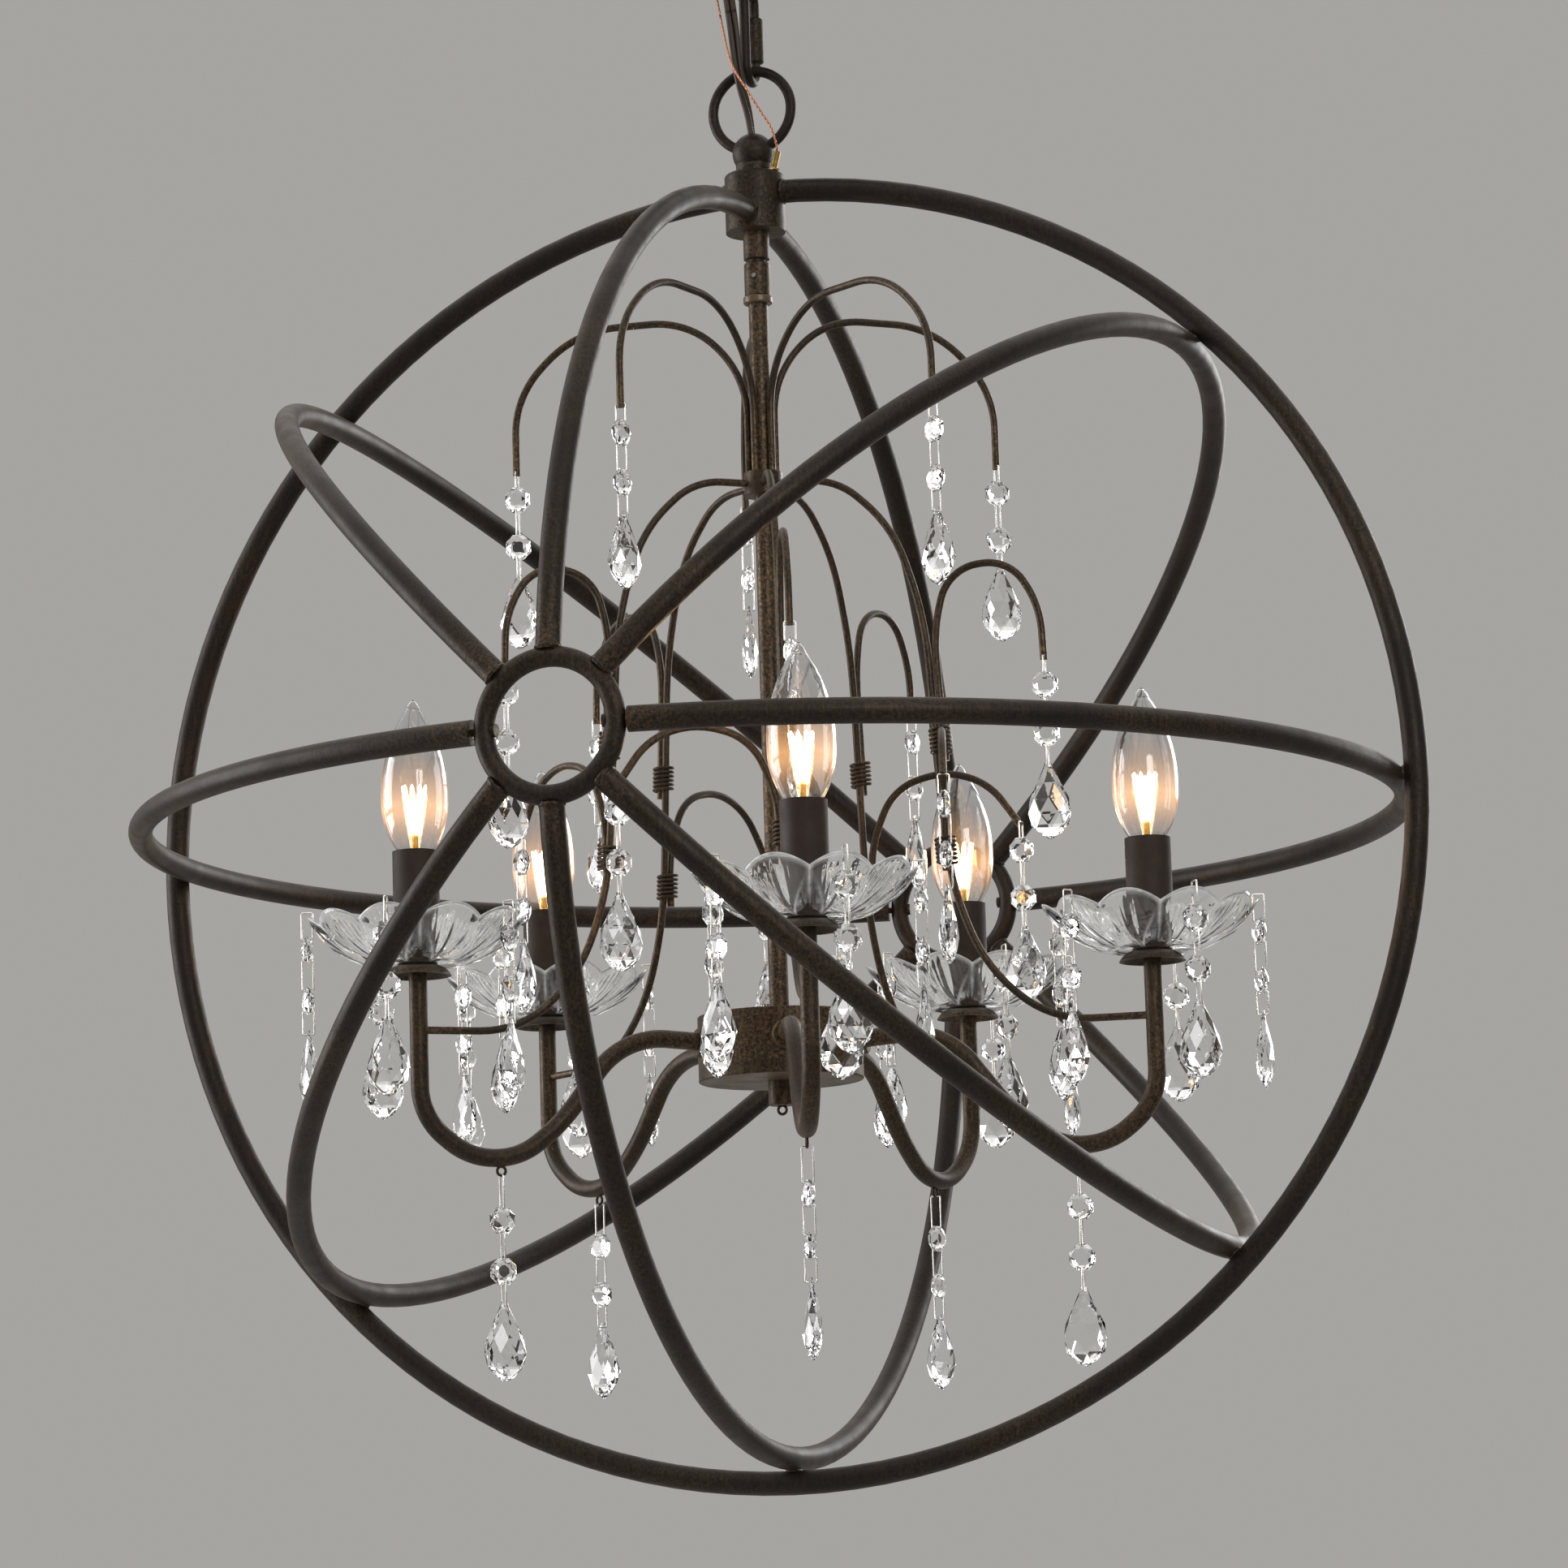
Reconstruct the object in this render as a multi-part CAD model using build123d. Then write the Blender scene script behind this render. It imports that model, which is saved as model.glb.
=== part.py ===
"""Orb chandelier: a wire globe of bent tubes, hung by a quick link from a ceiling canopy.

Inside it a swivelling column carries five U-shaped candle arms, their braces, a fountain
of curved rods and the crystal strands. Millimetres, +Z up. The origin is the middle of
the ceiling face; heights below are given above the middle of the orb, and every piece is
lowered by ORB_DROP when it is written.
"""
from build123d import *
import math
import os

os.makedirs("parts", exist_ok=True)

# ---- fits and gaps ---------------------------------------------------------------------
FIT = 0.05              # radial play of a fixed piece in its seat
RUN_FIT = 0.1           # radial play of the swivel and of the sleeve on its thread
HANG_GAP = 0.15         # between two loops that hang in each other
WIRE_PLAY = 1.2         # least play of a wire in its bore

# ---- cage ------------------------------------------------------------------------------
TUBE_R = 6.35           # half-inch tube of the cage
TUBE_WALL = 1.2
RING_R = 348.65         # outer ring, to the middle of its tube: 710 over all
CONTACT_GAP = 0.05      # where a hoop is tacked to the outer ring
HOOP_R = RING_R - 2 * TUBE_R - CONTACT_GAP
POLE_R = 33.5           # pole rings, to the middle of their bar
POLE_BAR_R = 5.1
POLE_Y = math.sqrt(HOOP_R ** 2 - POLE_R ** 2)
POLE_ANGLE = math.degrees(math.asin(POLE_R / HOOP_R))
SCREWED_GAP = 1.0       # between a screwed hoop end and its pole ring
PLUG_LENGTH = 9.0
SCREW_R = 1.75
SCREW_HEAD_R = 3.2
SCREW_HEAD_H = 2.0
SCREW_SEAT = 0.6

# ---- hub, ball and hanging loop ----------------------------------------------------------
HUB_R = 16.25
HUB_LIP = 2.9           # hub metal under the vertical hoop
HUB_LID = 4.2           # hub metal above the outer ring
HUB_BOTTOM = HOOP_R - TUBE_R - HUB_LIP
HUB_TOP = RING_R + TUBE_R + HUB_LID
HUB_EDGE = 2.0
SOCKET_X = 8.0          # how near the axis the tubes end inside the hub
WIRE_BORE_R = 3.5
SPIGOT_R = 6.0          # threaded spigots above and below in the hub
SPIGOT_LENGTH = 7.0
NECK_R = 9.75
NECK_H = 5.5
BALL_R = 11.45
BALL_RISE = 6.4         # middle of the ball above the top of the neck
LOOP_R = 22.3
LOOP_WIRE_R = 2.85
LOOP_RISE = 24.3        # middle of the loop above the middle of the ball
LOOP_END_X = 4.6        # how near the axis the loop's ends stop in the ball
BALL_Z = HUB_TOP + NECK_H + BALL_RISE
LOOP_Z = BALL_Z + LOOP_RISE

# ---- quick link --------------------------------------------------------------------------
LINK_WIRE_R = 2.8
LINK_END_R = 8.5
LINK_STRAIGHT = 37.0
LINK_OPENING = 6.2
LINK_GAP_RISE = 1.0     # gap in the wire above the lower end of the closed sleeve
SLEEVE_R = 4.65
SLEEVE_LENGTH = 25.4
SLEEVE_RISE = 4.3       # rest place of the sleeve above the lower bend
LINK_LOW_Z = LOOP_Z + LOOP_R - LOOP_WIRE_R - LINK_WIRE_R - HANG_GAP
LINK_BEND_Z = LINK_LOW_Z + LINK_END_R
LINK_TOP_Z = LINK_LOW_Z + LINK_STRAIGHT + 2 * LINK_END_R

# ---- canopy ------------------------------------------------------------------------------
EYE_R = 12.0
EYE_WIRE_R = 2.5
EYE_LOW_Z = LINK_TOP_Z - LINK_WIRE_R - EYE_WIRE_R - HANG_GAP
EYE_Z = EYE_LOW_Z + EYE_R
BOSS_R = 8.0
BOSS_LENGTH = 8.5
SHANK_R = 4.9
CANOPY_R = 65.0
CANOPY_DEPTH = 27.0
CANOPY_RIM = 6.0
CANOPY_FLAT_R = 28.0
CANOPY_WALL = 1.2
CANOPY_Z = EYE_Z + EYE_R - EYE_WIRE_R + BOSS_LENGTH
ORB_DROP = CANOPY_Z + CANOPY_DEPTH
STRAP_LENGTH = 104.0
STRAP_WIDTH = 18.0
STRAP_THICK = 2.0
BOX_SCREW_SPACING = 88.9
BOX_SLOT_WIDTH = 4.8
BOX_SLOT_LENGTH = 10.0
NUT_ACROSS = 17.0
NUT_THICK = 5.0
CAP_MOUTH_R = 3.6
CAP_TIP_R = 2.2
CAP_LENGTH = 12.0
CAP_BORE_R = 1.5
LEAD_RISE = 7.0         # ends of the cord and the ground wire above the canopy's bottom

# ---- column ------------------------------------------------------------------------------
COUPLING_R = 7.05
COUPLING_TOP_LENGTH = 15.0
COUPLING_WAIST = 2.3
COUPLING_LOW_LENGTH = 18.6
SWIVEL_R = 4.65
SWIVEL_LENGTH = 14.0
SWIVEL_GROOVE = 0.8
SWIVEL_BORE_R = 3.0
SET_SCREW_R = 1.4
SET_SCREW_DROP = 7.5    # below the top of the lower sleeve
FLANGE_R = 7.95
FLANGE_H = 4.1
STEM_R = 5.2
STEM_BORE_R = 3.9
STEM_ENTRY = 3.0        # stem in the lower sleeve
COLLAR_R = 10.4
COLLAR_TOP = 192.9
COLLAR_H = 12.9
DRUM_R = 43.8
DRUM_TOP = -102.3
DRUM_H = 27.9
DRUM_WALL = 1.5
COVER_H = 7.0
COVER_LIP = 3.0
FINIAL_R = 7.15
FINIAL_H = 13.0
STUD_R = 3.2
STUD_LENGTH = 20.0
STEM_FOOT = 3.0         # stem end above the inside of the cover
WINDOW_H = 10.0         # wire window in the stem, inside the drum
LEAD_R = 2.2

# ---- rods --------------------------------------------------------------------------------
ROD_R = 2.0
ROD_SEAT = 4.0
SPRAY_BASE_R = 7.7
SPRAY_PEAK_Z = 281.0
SPRAY_END_R = 138.5
SPRAY_END_Z = 203.0
HOLE_R = 0.85           # drilled holes for the strands
HOLE_INSET = 2.2        # hole above the end of a rod
BRACE_SIDE_Z = 186.5
BRACE_TOP_R = 86.0      # brace's long straight run, upper corner
BRACE_TOP_Z = 108.0
BRACE_LOW_R = 95.0      # and lower corner
BRACE_LOW_Z = -36.0
BRACE_END_Z = -113.3
TWIG_STEP = 2 * ROD_R + 0.2
UPPER_WRAP_Z = 39.3
LOWER_WRAP_Z = -20.0
UPPER_TWIG_END_R = 150.0
UPPER_TWIG_END_Z = 79.0
UPPER_TWIG_TOP_Z = 135.0
LOWER_TWIG_TURN = -78.0  # heading of the lower twigs against their arm
LOWER_TWIG_REACH = 86.0
LOWER_TWIG_END_Z = 4.0
LOWER_TWIG_TOP_Z = 37.5
WRAP_WIRE_R = 0.8
WRAP_PITCH = 2.3
WRAP_TURNS = 6
WRAP_PLAY = 0.25

# ---- arms --------------------------------------------------------------------------------
ARMS = 5
ARM_AZIMUTH = 292.6     # front arm, as the column hangs in the photograph
ARM_R = 201.4
ARM_TUBE_R = 4.75
ARM_WALL = 1.0
ARM_SEAT = 4.0          # arm tube inside the drum wall
ARM_START_Z = -117.5
ARM_LIFT = 3.0          # rise of the arm's first run
ARM_SHOULDER_R = 89.0
ARM_LOW_Z = -179.5      # middle of the tube at the bottom of the U
ARM_LOW_R = 158.0
ARM_TOP = -81.4
NIPPLE_R = 4.0
NIPPLE_LENGTH = 14.0
NIPPLE_BORE_R = 2.6
ARM_COLLAR_R = 7.8
ARM_COLLAR_H = 4.0
EYELET_R = 2.3
EYELET_WIRE_R = 0.75
ARM_WIRE_R = 2.3
ARM_WIRE_TAIL = 14.0    # bare wire inside the drum
CUP_R = 17.5
CUP_TOP_R = 10.0
CUP_H = 5.5
CUP_WALL = 1.2
DISH_R = 57.0
DISH_H = 28.0
DISH_WALL = 3.0
DISH_FOOT_R = 24.0
DISH_FLOOR = 4.0
PETALS = 10
PETAL_R = 24.0          # arc of one petal, seen from above
DISH_HOLE_INSET = 3.2   # drilled hole inside the tip of a petal
STRANDS_PER_DISH = 5
DISH_TURNS = (15.6, 15.6, 15.6, 15.6, -16.4)
CANDLE_R = 12.1
CANDLE_WALL = 1.2
CANDLE_TOP = -20.4
SOCKET_R = 9.3
SOCKET_INSET = 4.0
BULB_R = 17.5
BULB_H = 80.0
BULB_WIDEST = 27.0
BULB_NECK_R = 9.5
BULB_WALL = 0.8
BULB_TIP_R = 0.8
BULB_BASE_R = 5.85
BULB_BASE_H = 21.0

# ---- crystal strands ---------------------------------------------------------------------
BEAD_R = 7.4
BEAD_EDGE = 1.2
BEAD_HALF = 3.1
BEAD_TABLE_R = 3.4
BEAD_HOLE = 5.0         # hole from the middle of the bead
BEAD_DROP = 15.8        # first bead below the hanging hole
BEAD_PITCH = 26.3
DROP_TOP = 57.6
DROP_H = 41.0
DROP_R = 12.0
DROP_FLAT = 0.42
DROP_HOLE = 2.6
CLIP_R = 0.45
CLIP_WIDTH = 5.8
CLIP_CORNER = 0.8
LONG_CLIP_EXTRA = 8.0
RIM_CLIP_EXTRA = 4.0

# ---- cords -------------------------------------------------------------------------------
CORD_R = 2.5
GROUND_R = 0.6
ROUTE_SHARE = 0.45
# corner points, in order from the ball up, their heights above the top of the hub; the first
# and last of each follow the sizes above
CORD_RISES = [(0, 0, 27.8), (-3, -14, 52.8), (-3.6, -16.5, 76.8), (-7, -15, 100.8), (-9.5, -12, 122.8)]
GROUND_RISES = [(15.4, -9.5, 20.8), (9, -14, 31.8), (3, -18.5, 43.8), (-4.5, -20.5, 56.8),
                (-8.5, -18.5, 73.8), (-13.5, -16, 99.8), (-18.5, -10, 120.8)]
CORD_POINTS = [(x, y, HUB_TOP + rise) for x, y, rise in CORD_RISES]
GROUND_POINTS = [(x, y, HUB_TOP + rise) for x, y, rise in GROUND_RISES]
CORD_ENTRY = (-9.5, -12.3)
GROUND_ENTRY = (-19.8, -8.2)
LUG_FOOT = (12.6, -4.8)
LUG_LENGTH = 10.0       # tip of the lug above the hub
LUG_TIP = (15.9, -6.4, HUB_TOP + LUG_LENGTH)
LUG_R = 1.9


# ---- helpers -----------------------------------------------------------------------------
def write(name, *solids):
    """Lowers the solids to their place under the ceiling and writes them as one node."""
    placed = [s.moved(Location((0, 0, -ORB_DROP))) for s in solids]
    shape = placed[0] if len(placed) == 1 else Compound(children=placed)
    export_step(shape, f"parts/{name}.step")


def post(radius, low, high, x=0.0, y=0.0):
    """An upright cylinder from one height to another."""
    return Pos(x, y, (low + high) / 2) * Cylinder(radius, high - low)


def ring_around(count, shape, first=0.0):
    """Copies of a shape at equal angles about the upright axis."""
    return [shape.rotate(Axis.Z, first + 360 / count * i) for i in range(count)]


def corner_radii(points, share):
    """The largest even bends: each takes its share of the shorter run beside its corner."""
    radii = []
    for before, corner, after in zip(points, points[1:], points[2:]):
        run_in = corner - before
        run_out = after - corner
        turn = math.radians(run_in.get_angle(run_out))
        radii.append(share * min(run_in.length, run_out.length) / math.tan(turn / 2))
    return radii


def bent_path(points, share=0.48):
    corners = [Vector(*p) for p in points]
    return FilletPolyline(*corners, radius=corner_radii(corners, share))


def bent_rod(points, radius, share=0.48):
    """A round rod along straight runs and tangent bends."""
    path = bent_path(points, share)
    section = Plane(origin=path @ 0, z_dir=path % 0) * Circle(radius)
    return sweep(section, path=path)


def upright(points):
    """Points given as radius and height, in the plane of azimuth 0."""
    return [(r, 0, z) for r, z in points]


def tube_arc(bend_r, start, turn, outer, inner=0.0):
    """A bent tube about the upright axis, from one azimuth through an angle."""
    section = Circle(outer) - Circle(inner) if inner else Circle(outer)
    face = Plane.XZ * (Pos(bend_r, 0) * section)
    return revolve(face, Axis.Z, turn).rotate(Axis.Z, start)


def solid_of(shape):
    """The one solid inside a result."""
    return shape.solids()[0]


# ---- cage pieces -------------------------------------------------------------------------
def pole_ring(side):
    return Pos(0, side * POLE_Y, 0) * Rot(90, 0, 0) * Torus(POLE_R, POLE_BAR_R)


def screw_frame(side, roll):
    """Where a screw goes out through a pole ring along the hoop that leaves it."""
    angle = math.radians(side * (90 - POLE_ANGLE))
    spot = Vector(HOOP_R * math.cos(angle), HOOP_R * math.sin(angle), 0)
    away = Vector(math.sin(angle) * side, -math.cos(angle) * side, 0)
    return Rot(0, -roll, 0) * Plane(origin=spot, z_dir=away).location


def screw_shape(extra_r=0.0, head_room=0.0):
    seat = SCREW_SEAT - POLE_BAR_R
    head = post(SCREW_HEAD_R + extra_r, seat - SCREW_HEAD_H - head_room, seat)
    shank = post(SCREW_R + extra_r, seat, POLE_BAR_R + SCREWED_GAP + PLUG_LENGTH - 1)
    return head + shank


def hoop_arc(roll, first=None, last=None, screwed=False):
    """A hoop's half: from the front pole ring to the back one, through a rolled direction.

    first and last cut it short where it ends at the hub instead, as azimuths in its plane.
    """
    reach = POLE_R + 0.6 * POLE_BAR_R
    if screwed:
        reach = POLE_R + POLE_BAR_R + SCREWED_GAP
    limit = 90 - math.degrees(math.asin(reach / HOOP_R))
    start = -limit if first is None else first
    end = limit if last is None else last
    arc = tube_arc(HOOP_R, start, end - start, TUBE_R, TUBE_R - TUBE_WALL)
    if screwed:
        plug_turn = math.degrees(PLUG_LENGTH / HOOP_R)
        for side in (-1, 1):
            near = side * limit
            span = tube_arc(HOOP_R, min(near, near - side * plug_turn), plug_turn, TUBE_R - TUBE_WALL / 2)
            arc = arc + span
            arc = arc - screw_frame(side, 0) * screw_shape(FIT)
    arc = arc.rotate(Axis.Y, -roll)
    for side in (-1, 1):
        cope = Pos(0, side * POLE_Y, 0) * Rot(90, 0, 0) * Torus(POLE_R, POLE_BAR_R + FIT)
        arc = arc - cope
    return solid_of(arc)


HUB_HALF_ANGLE = math.degrees(math.asin(SOCKET_X / HOOP_R))
RING_HALF_ANGLE = math.degrees(math.asin(SOCKET_X / RING_R))

outer_ring = tube_arc(RING_R, RING_HALF_ANGLE, 360 - 2 * RING_HALF_ANGLE, TUBE_R, TUBE_R - TUBE_WALL)
outer_ring = outer_ring.rotate(Axis.Y, -90).rotate(Axis.Z, 90)
vertical_front = hoop_arc(90, last=-HUB_HALF_ANGLE)
vertical_back = hoop_arc(90, first=HUB_HALF_ANGLE)
vertical_low = hoop_arc(270)
level_hoop = [hoop_arc(0, screwed=True), hoop_arc(180, screwed=True)]
rising_hoop = [hoop_arc(45), hoop_arc(225)]
falling_hoop = [hoop_arc(135), hoop_arc(315)]

pole_screws = []
rings = {}
for name, side in (("front_pole_ring", -1), ("back_pole_ring", 1)):
    ring = pole_ring(side)
    for roll in (0, 180):
        place = screw_frame(side, roll)
        pole_screws.append(place * screw_shape())
        ring = ring - place * screw_shape(FIT, head_room=4)
    rings[name] = solid_of(ring)


# ---- hub, ball and loop ------------------------------------------------------------------
def hub():
    body = post(HUB_R, HUB_BOTTOM, HUB_TOP)
    body = fillet(body.edges().sort_by(Axis.Z)[-1], HUB_EDGE)
    body = body - post(WIRE_BORE_R, HUB_BOTTOM - 1, HUB_TOP + 1)
    body = body - post(SPIGOT_R + FIT, HUB_BOTTOM - 1, HUB_BOTTOM + SPIGOT_LENGTH)
    body = body - post(SPIGOT_R + FIT, HUB_TOP - SPIGOT_LENGTH, HUB_TOP + 1)
    reach = 6.0
    ring_seat = tube_arc(RING_R, RING_HALF_ANGLE, reach, TUBE_R + FIT)
    hoop_seat = tube_arc(HOOP_R, HUB_HALF_ANGLE, reach, TUBE_R + FIT)
    for turn in (90, 270):
        body = body - ring_seat.rotate(Axis.Y, -90).rotate(Axis.Z, turn)
    for turn in (0, 180):
        body = body - hoop_seat.rotate(Axis.Y, -90).rotate(Axis.Z, turn)
    return solid_of(body)


def loop_shape(radius, end_x):
    """The hanging loop, open at the bottom inside the ball."""
    gap = math.degrees(math.asin(end_x / LOOP_R))
    arc = tube_arc(LOOP_R, gap - 90, 360 - 2 * gap, radius)
    return Pos(0, 0, LOOP_Z) * arc.rotate(Axis.X, 90)


def loop_ball():
    body = Pos(0, 0, BALL_Z) * Sphere(BALL_R)
    body = body + post(NECK_R, HUB_TOP, HUB_TOP + NECK_H)
    body = body + post(SPIGOT_R, HUB_TOP - SPIGOT_LENGTH, HUB_TOP)
    body = body - post(BALL_R, BALL_Z - 2 * BALL_R, HUB_TOP) + post(SPIGOT_R, HUB_TOP - SPIGOT_LENGTH, HUB_TOP)
    body = body - post(WIRE_BORE_R, HUB_TOP - SPIGOT_LENGTH - 1, BALL_Z + BALL_R + 1)
    body = body - loop_shape(LOOP_WIRE_R + FIT, LOOP_END_X)
    return solid_of(body)


def ground_lug():
    foot = Vector(LUG_FOOT[0], LUG_FOOT[1], HUB_TOP)
    tip = Vector(*LUG_TIP)
    base = Pos(foot.X, foot.Y, HUB_TOP + 0.5) * Rot(0, 0, -20) * Box(5.0, 4.4, 1.0)
    axis = tip - foot
    barrel = Plane(origin=foot + axis * 0.15, z_dir=axis) * Cylinder(
        LUG_R, axis.length * 0.85, align=(Align.CENTER, Align.CENTER, Align.MIN))
    body = base + barrel
    bore = Plane(origin=tip, z_dir=axis) * Cylinder(GROUND_R + FIT, 8)
    return solid_of(body - bore - post(BALL_R + 0.4, HUB_TOP - 5, BALL_Z))


# ---- quick link and canopy -----------------------------------------------------------------
def quick_link():
    """A stadium of round wire in the YZ plane, its gap hidden in the threaded sleeve."""
    side = LINK_END_R
    low = LINK_BEND_Z
    high = low + LINK_STRAIGHT
    gap = low + SLEEVE_RISE + LINK_GAP_RISE
    ends = tube_arc(LINK_END_R, 0, 180, LINK_WIRE_R).rotate(Axis.X, 90).rotate(Axis.Z, 90)
    wire = Pos(0, 0, high) * ends
    wire = wire + Pos(0, 0, low) * ends.rotate(Axis.X, 180)
    wire = wire + post(LINK_WIRE_R, low, high, 0, -side)
    wire = wire + post(LINK_WIRE_R, low, gap, 0, side)
    wire = wire + post(LINK_WIRE_R, gap + LINK_OPENING, high, 0, side)
    return solid_of(wire)


def link_sleeve():
    low = LINK_BEND_Z + SLEEVE_RISE
    body = post(SLEEVE_R, low, low + SLEEVE_LENGTH, 0, LINK_END_R)
    body = chamfer(body.edges().filter_by(GeomType.CIRCLE), 0.8)
    return solid_of(body - post(LINK_WIRE_R + RUN_FIT, low - 1, low + SLEEVE_LENGTH + 1, 0, LINK_END_R))


def canopy():
    """A spun dome: a short upright rim, a curved shoulder and a flat bottom."""
    def dome(inset):
        top = ORB_DROP
        low = CANOPY_Z + inset
        outer = CANOPY_R - inset
        with BuildSketch(Plane.XZ) as sketch:
            with BuildLine():
                Polyline((0, low), (CANOPY_FLAT_R, low))
                ThreePointArc((CANOPY_FLAT_R, low),
                              (outer * 0.76, low + (CANOPY_DEPTH - CANOPY_RIM) * 0.36),
                              (outer, top - CANOPY_RIM))
                Polyline((outer, top - CANOPY_RIM), (outer, top), (0, top), (0, low))
            make_face()
        return revolve(sketch.sketch, Axis.Z, 360)
    body = dome(0) - dome(CANOPY_WALL)
    body = body - post(SHANK_R + FIT, CANOPY_Z - 1, CANOPY_Z + 5)
    body = body - post(CORD_R + WIRE_PLAY, CANOPY_Z - 1, CANOPY_Z + 5, *CORD_ENTRY)
    body = body - post(GROUND_R + WIRE_PLAY, CANOPY_Z - 1, CANOPY_Z + 5, *GROUND_ENTRY)
    return solid_of(body)


def canopy_loop():
    eye = Pos(0, 0, EYE_Z) * Rot(90, 0, 0) * Torus(EYE_R, EYE_WIRE_R)
    boss = post(BOSS_R, CANOPY_Z - BOSS_LENGTH, CANOPY_Z)
    shank = post(SHANK_R, CANOPY_Z, ORB_DROP)
    return solid_of(eye + boss + shank)


def mounting_strap():
    bar = Pos(0, 0, ORB_DROP - STRAP_THICK / 2) * Box(STRAP_LENGTH, STRAP_WIDTH, STRAP_THICK)
    bar = fillet(bar.edges().filter_by(Axis.Z), STRAP_WIDTH * 0.3)
    bar = bar - post(SHANK_R + FIT, ORB_DROP - 5, ORB_DROP + 1)
    for side in (-1, 1):
        slot = extrude(SlotOverall(BOX_SLOT_LENGTH, BOX_SLOT_WIDTH), 4 * STRAP_THICK, both=True)
        bar = bar - Pos(side * BOX_SCREW_SPACING / 2, 0, ORB_DROP) * slot
    return solid_of(bar)


def canopy_nut():
    low = ORB_DROP - STRAP_THICK - NUT_THICK
    nut = Pos(0, 0, low) * extrude(RegularPolygon(NUT_ACROSS / 2, 6, major_radius=False), NUT_THICK)
    return solid_of(nut - post(SHANK_R + FIT, low - 1, low + NUT_THICK + 1))


def wire_cap(x, y, low):
    """A twist-on wire connector, mouth down."""
    cap = Pos(x, y, low + CAP_LENGTH / 2) * Cone(CAP_MOUTH_R, CAP_TIP_R, CAP_LENGTH)
    return solid_of(cap - post(CAP_BORE_R, low - 1, low + CAP_LENGTH * 0.6, x, y))


def canopy_caps():
    """One cap on each conductor of the cord, side by side along the radius, and one on the ground."""
    x, y = CORD_ENTRY
    step = (CAP_MOUTH_R + FIT) / math.hypot(x, y)
    low = CANOPY_Z + LEAD_RISE + FIT
    spots = [(x * (1 - step), y * (1 - step)), (x * (1 + step), y * (1 + step)), GROUND_ENTRY]
    return [wire_cap(*spot, low) for spot in spots]


# ---- column --------------------------------------------------------------------------------
COUPLING_LOW_TOP = HUB_BOTTOM - COUPLING_TOP_LENGTH - COUPLING_WAIST
FLANGE_TOP = COUPLING_LOW_TOP - COUPLING_LOW_LENGTH
SWIVEL_LOW = COUPLING_LOW_TOP - SWIVEL_LENGTH
SET_SCREW_Z = COUPLING_LOW_TOP - SET_SCREW_DROP
COVER_LOW = DRUM_TOP - DRUM_H - COVER_H
COVER_FLOOR = COVER_LOW + DRUM_WALL
STEM_LOW = COVER_FLOOR + STEM_FOOT


def fixed_coupling():
    body = post(COUPLING_R, HUB_BOTTOM - COUPLING_TOP_LENGTH, HUB_BOTTOM)
    body = body + post(SPIGOT_R, HUB_BOTTOM, HUB_BOTTOM + SPIGOT_LENGTH)
    body = body + post(SWIVEL_R, SWIVEL_LOW, HUB_BOTTOM - COUPLING_TOP_LENGTH)
    groove = post(SWIVEL_R + 1, SET_SCREW_Z - SET_SCREW_R - 0.4, SET_SCREW_Z + SET_SCREW_R + 0.4)
    groove = groove - post(SWIVEL_R - SWIVEL_GROOVE, SET_SCREW_Z - 9, SET_SCREW_Z + 9)
    body = body - groove
    return solid_of(body - post(SWIVEL_BORE_R, SWIVEL_LOW - 1, HUB_BOTTOM + SPIGOT_LENGTH + 1))


def swivel_coupling():
    body = post(COUPLING_R, FLANGE_TOP, COUPLING_LOW_TOP)
    body = chamfer(body.edges().filter_by(GeomType.CIRCLE), 0.5)
    body = body - post(SWIVEL_R + RUN_FIT, SWIVEL_LOW - 0.4, COUPLING_LOW_TOP + 1)
    body = body - post(STEM_R + FIT, FLANGE_TOP - 1, FLANGE_TOP + STEM_ENTRY)
    body = body - post(STEM_BORE_R, FLANGE_TOP - 1, COUPLING_LOW_TOP)
    hole = Pos(0, -COUPLING_R, SET_SCREW_Z) * Rot(90, 0, 0) * Cylinder(SET_SCREW_R + FIT, COUPLING_R)
    return solid_of(body - hole)


def set_screw():
    tip = SWIVEL_R - SWIVEL_GROOVE + RUN_FIT
    length = COUPLING_R - tip - 0.8
    middle = tip + length / 2
    screw = Pos(0, -middle, SET_SCREW_Z) * Rot(90, 0, 0) * Cylinder(SET_SCREW_R, length)
    return solid_of(screw)


def flange():
    body = post(FLANGE_R, FLANGE_TOP - FLANGE_H, FLANGE_TOP)
    body = fillet(body.edges().filter_by(GeomType.CIRCLE), 0.9)
    return solid_of(body - post(STEM_R + FIT, FLANGE_TOP - FLANGE_H - 1, FLANGE_TOP + 1))


def stem():
    high = FLANGE_TOP + STEM_ENTRY - 0.1
    body = post(STEM_R, STEM_LOW, high) - post(STEM_BORE_R, STEM_LOW - 1, high + 1)
    window = Pos(0, 0, DRUM_TOP - DRUM_WALL - 3 - WINDOW_H / 2) * Box(3 * STEM_R, STEM_R, WINDOW_H)
    return solid_of(body - window)


def spray_collar():
    low = COLLAR_TOP - COLLAR_H
    body = post(COLLAR_R, low, COLLAR_TOP)
    body = fillet(body.edges().filter_by(GeomType.CIRCLE), 0.5)
    body = body - post(STEM_R + FIT, low - 1, COLLAR_TOP + 1)
    for seat in ring_around(ARMS, post(ROD_R + FIT, COLLAR_TOP - ROD_SEAT, COLLAR_TOP + 1, SPRAY_BASE_R), SPRAY_FIRST):
        body = body - seat
    side = Pos(COLLAR_R, 0, BRACE_SIDE_Z) * Rot(0, 90, 0) * Cylinder(ROD_R + FIT, 2 * ROD_SEAT)
    for seat in ring_around(ARMS, side, ARM_AZIMUTH):
        body = body - seat
    return solid_of(body)


ARM_INNER_R = DRUM_R - DRUM_WALL - ARM_SEAT


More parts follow.
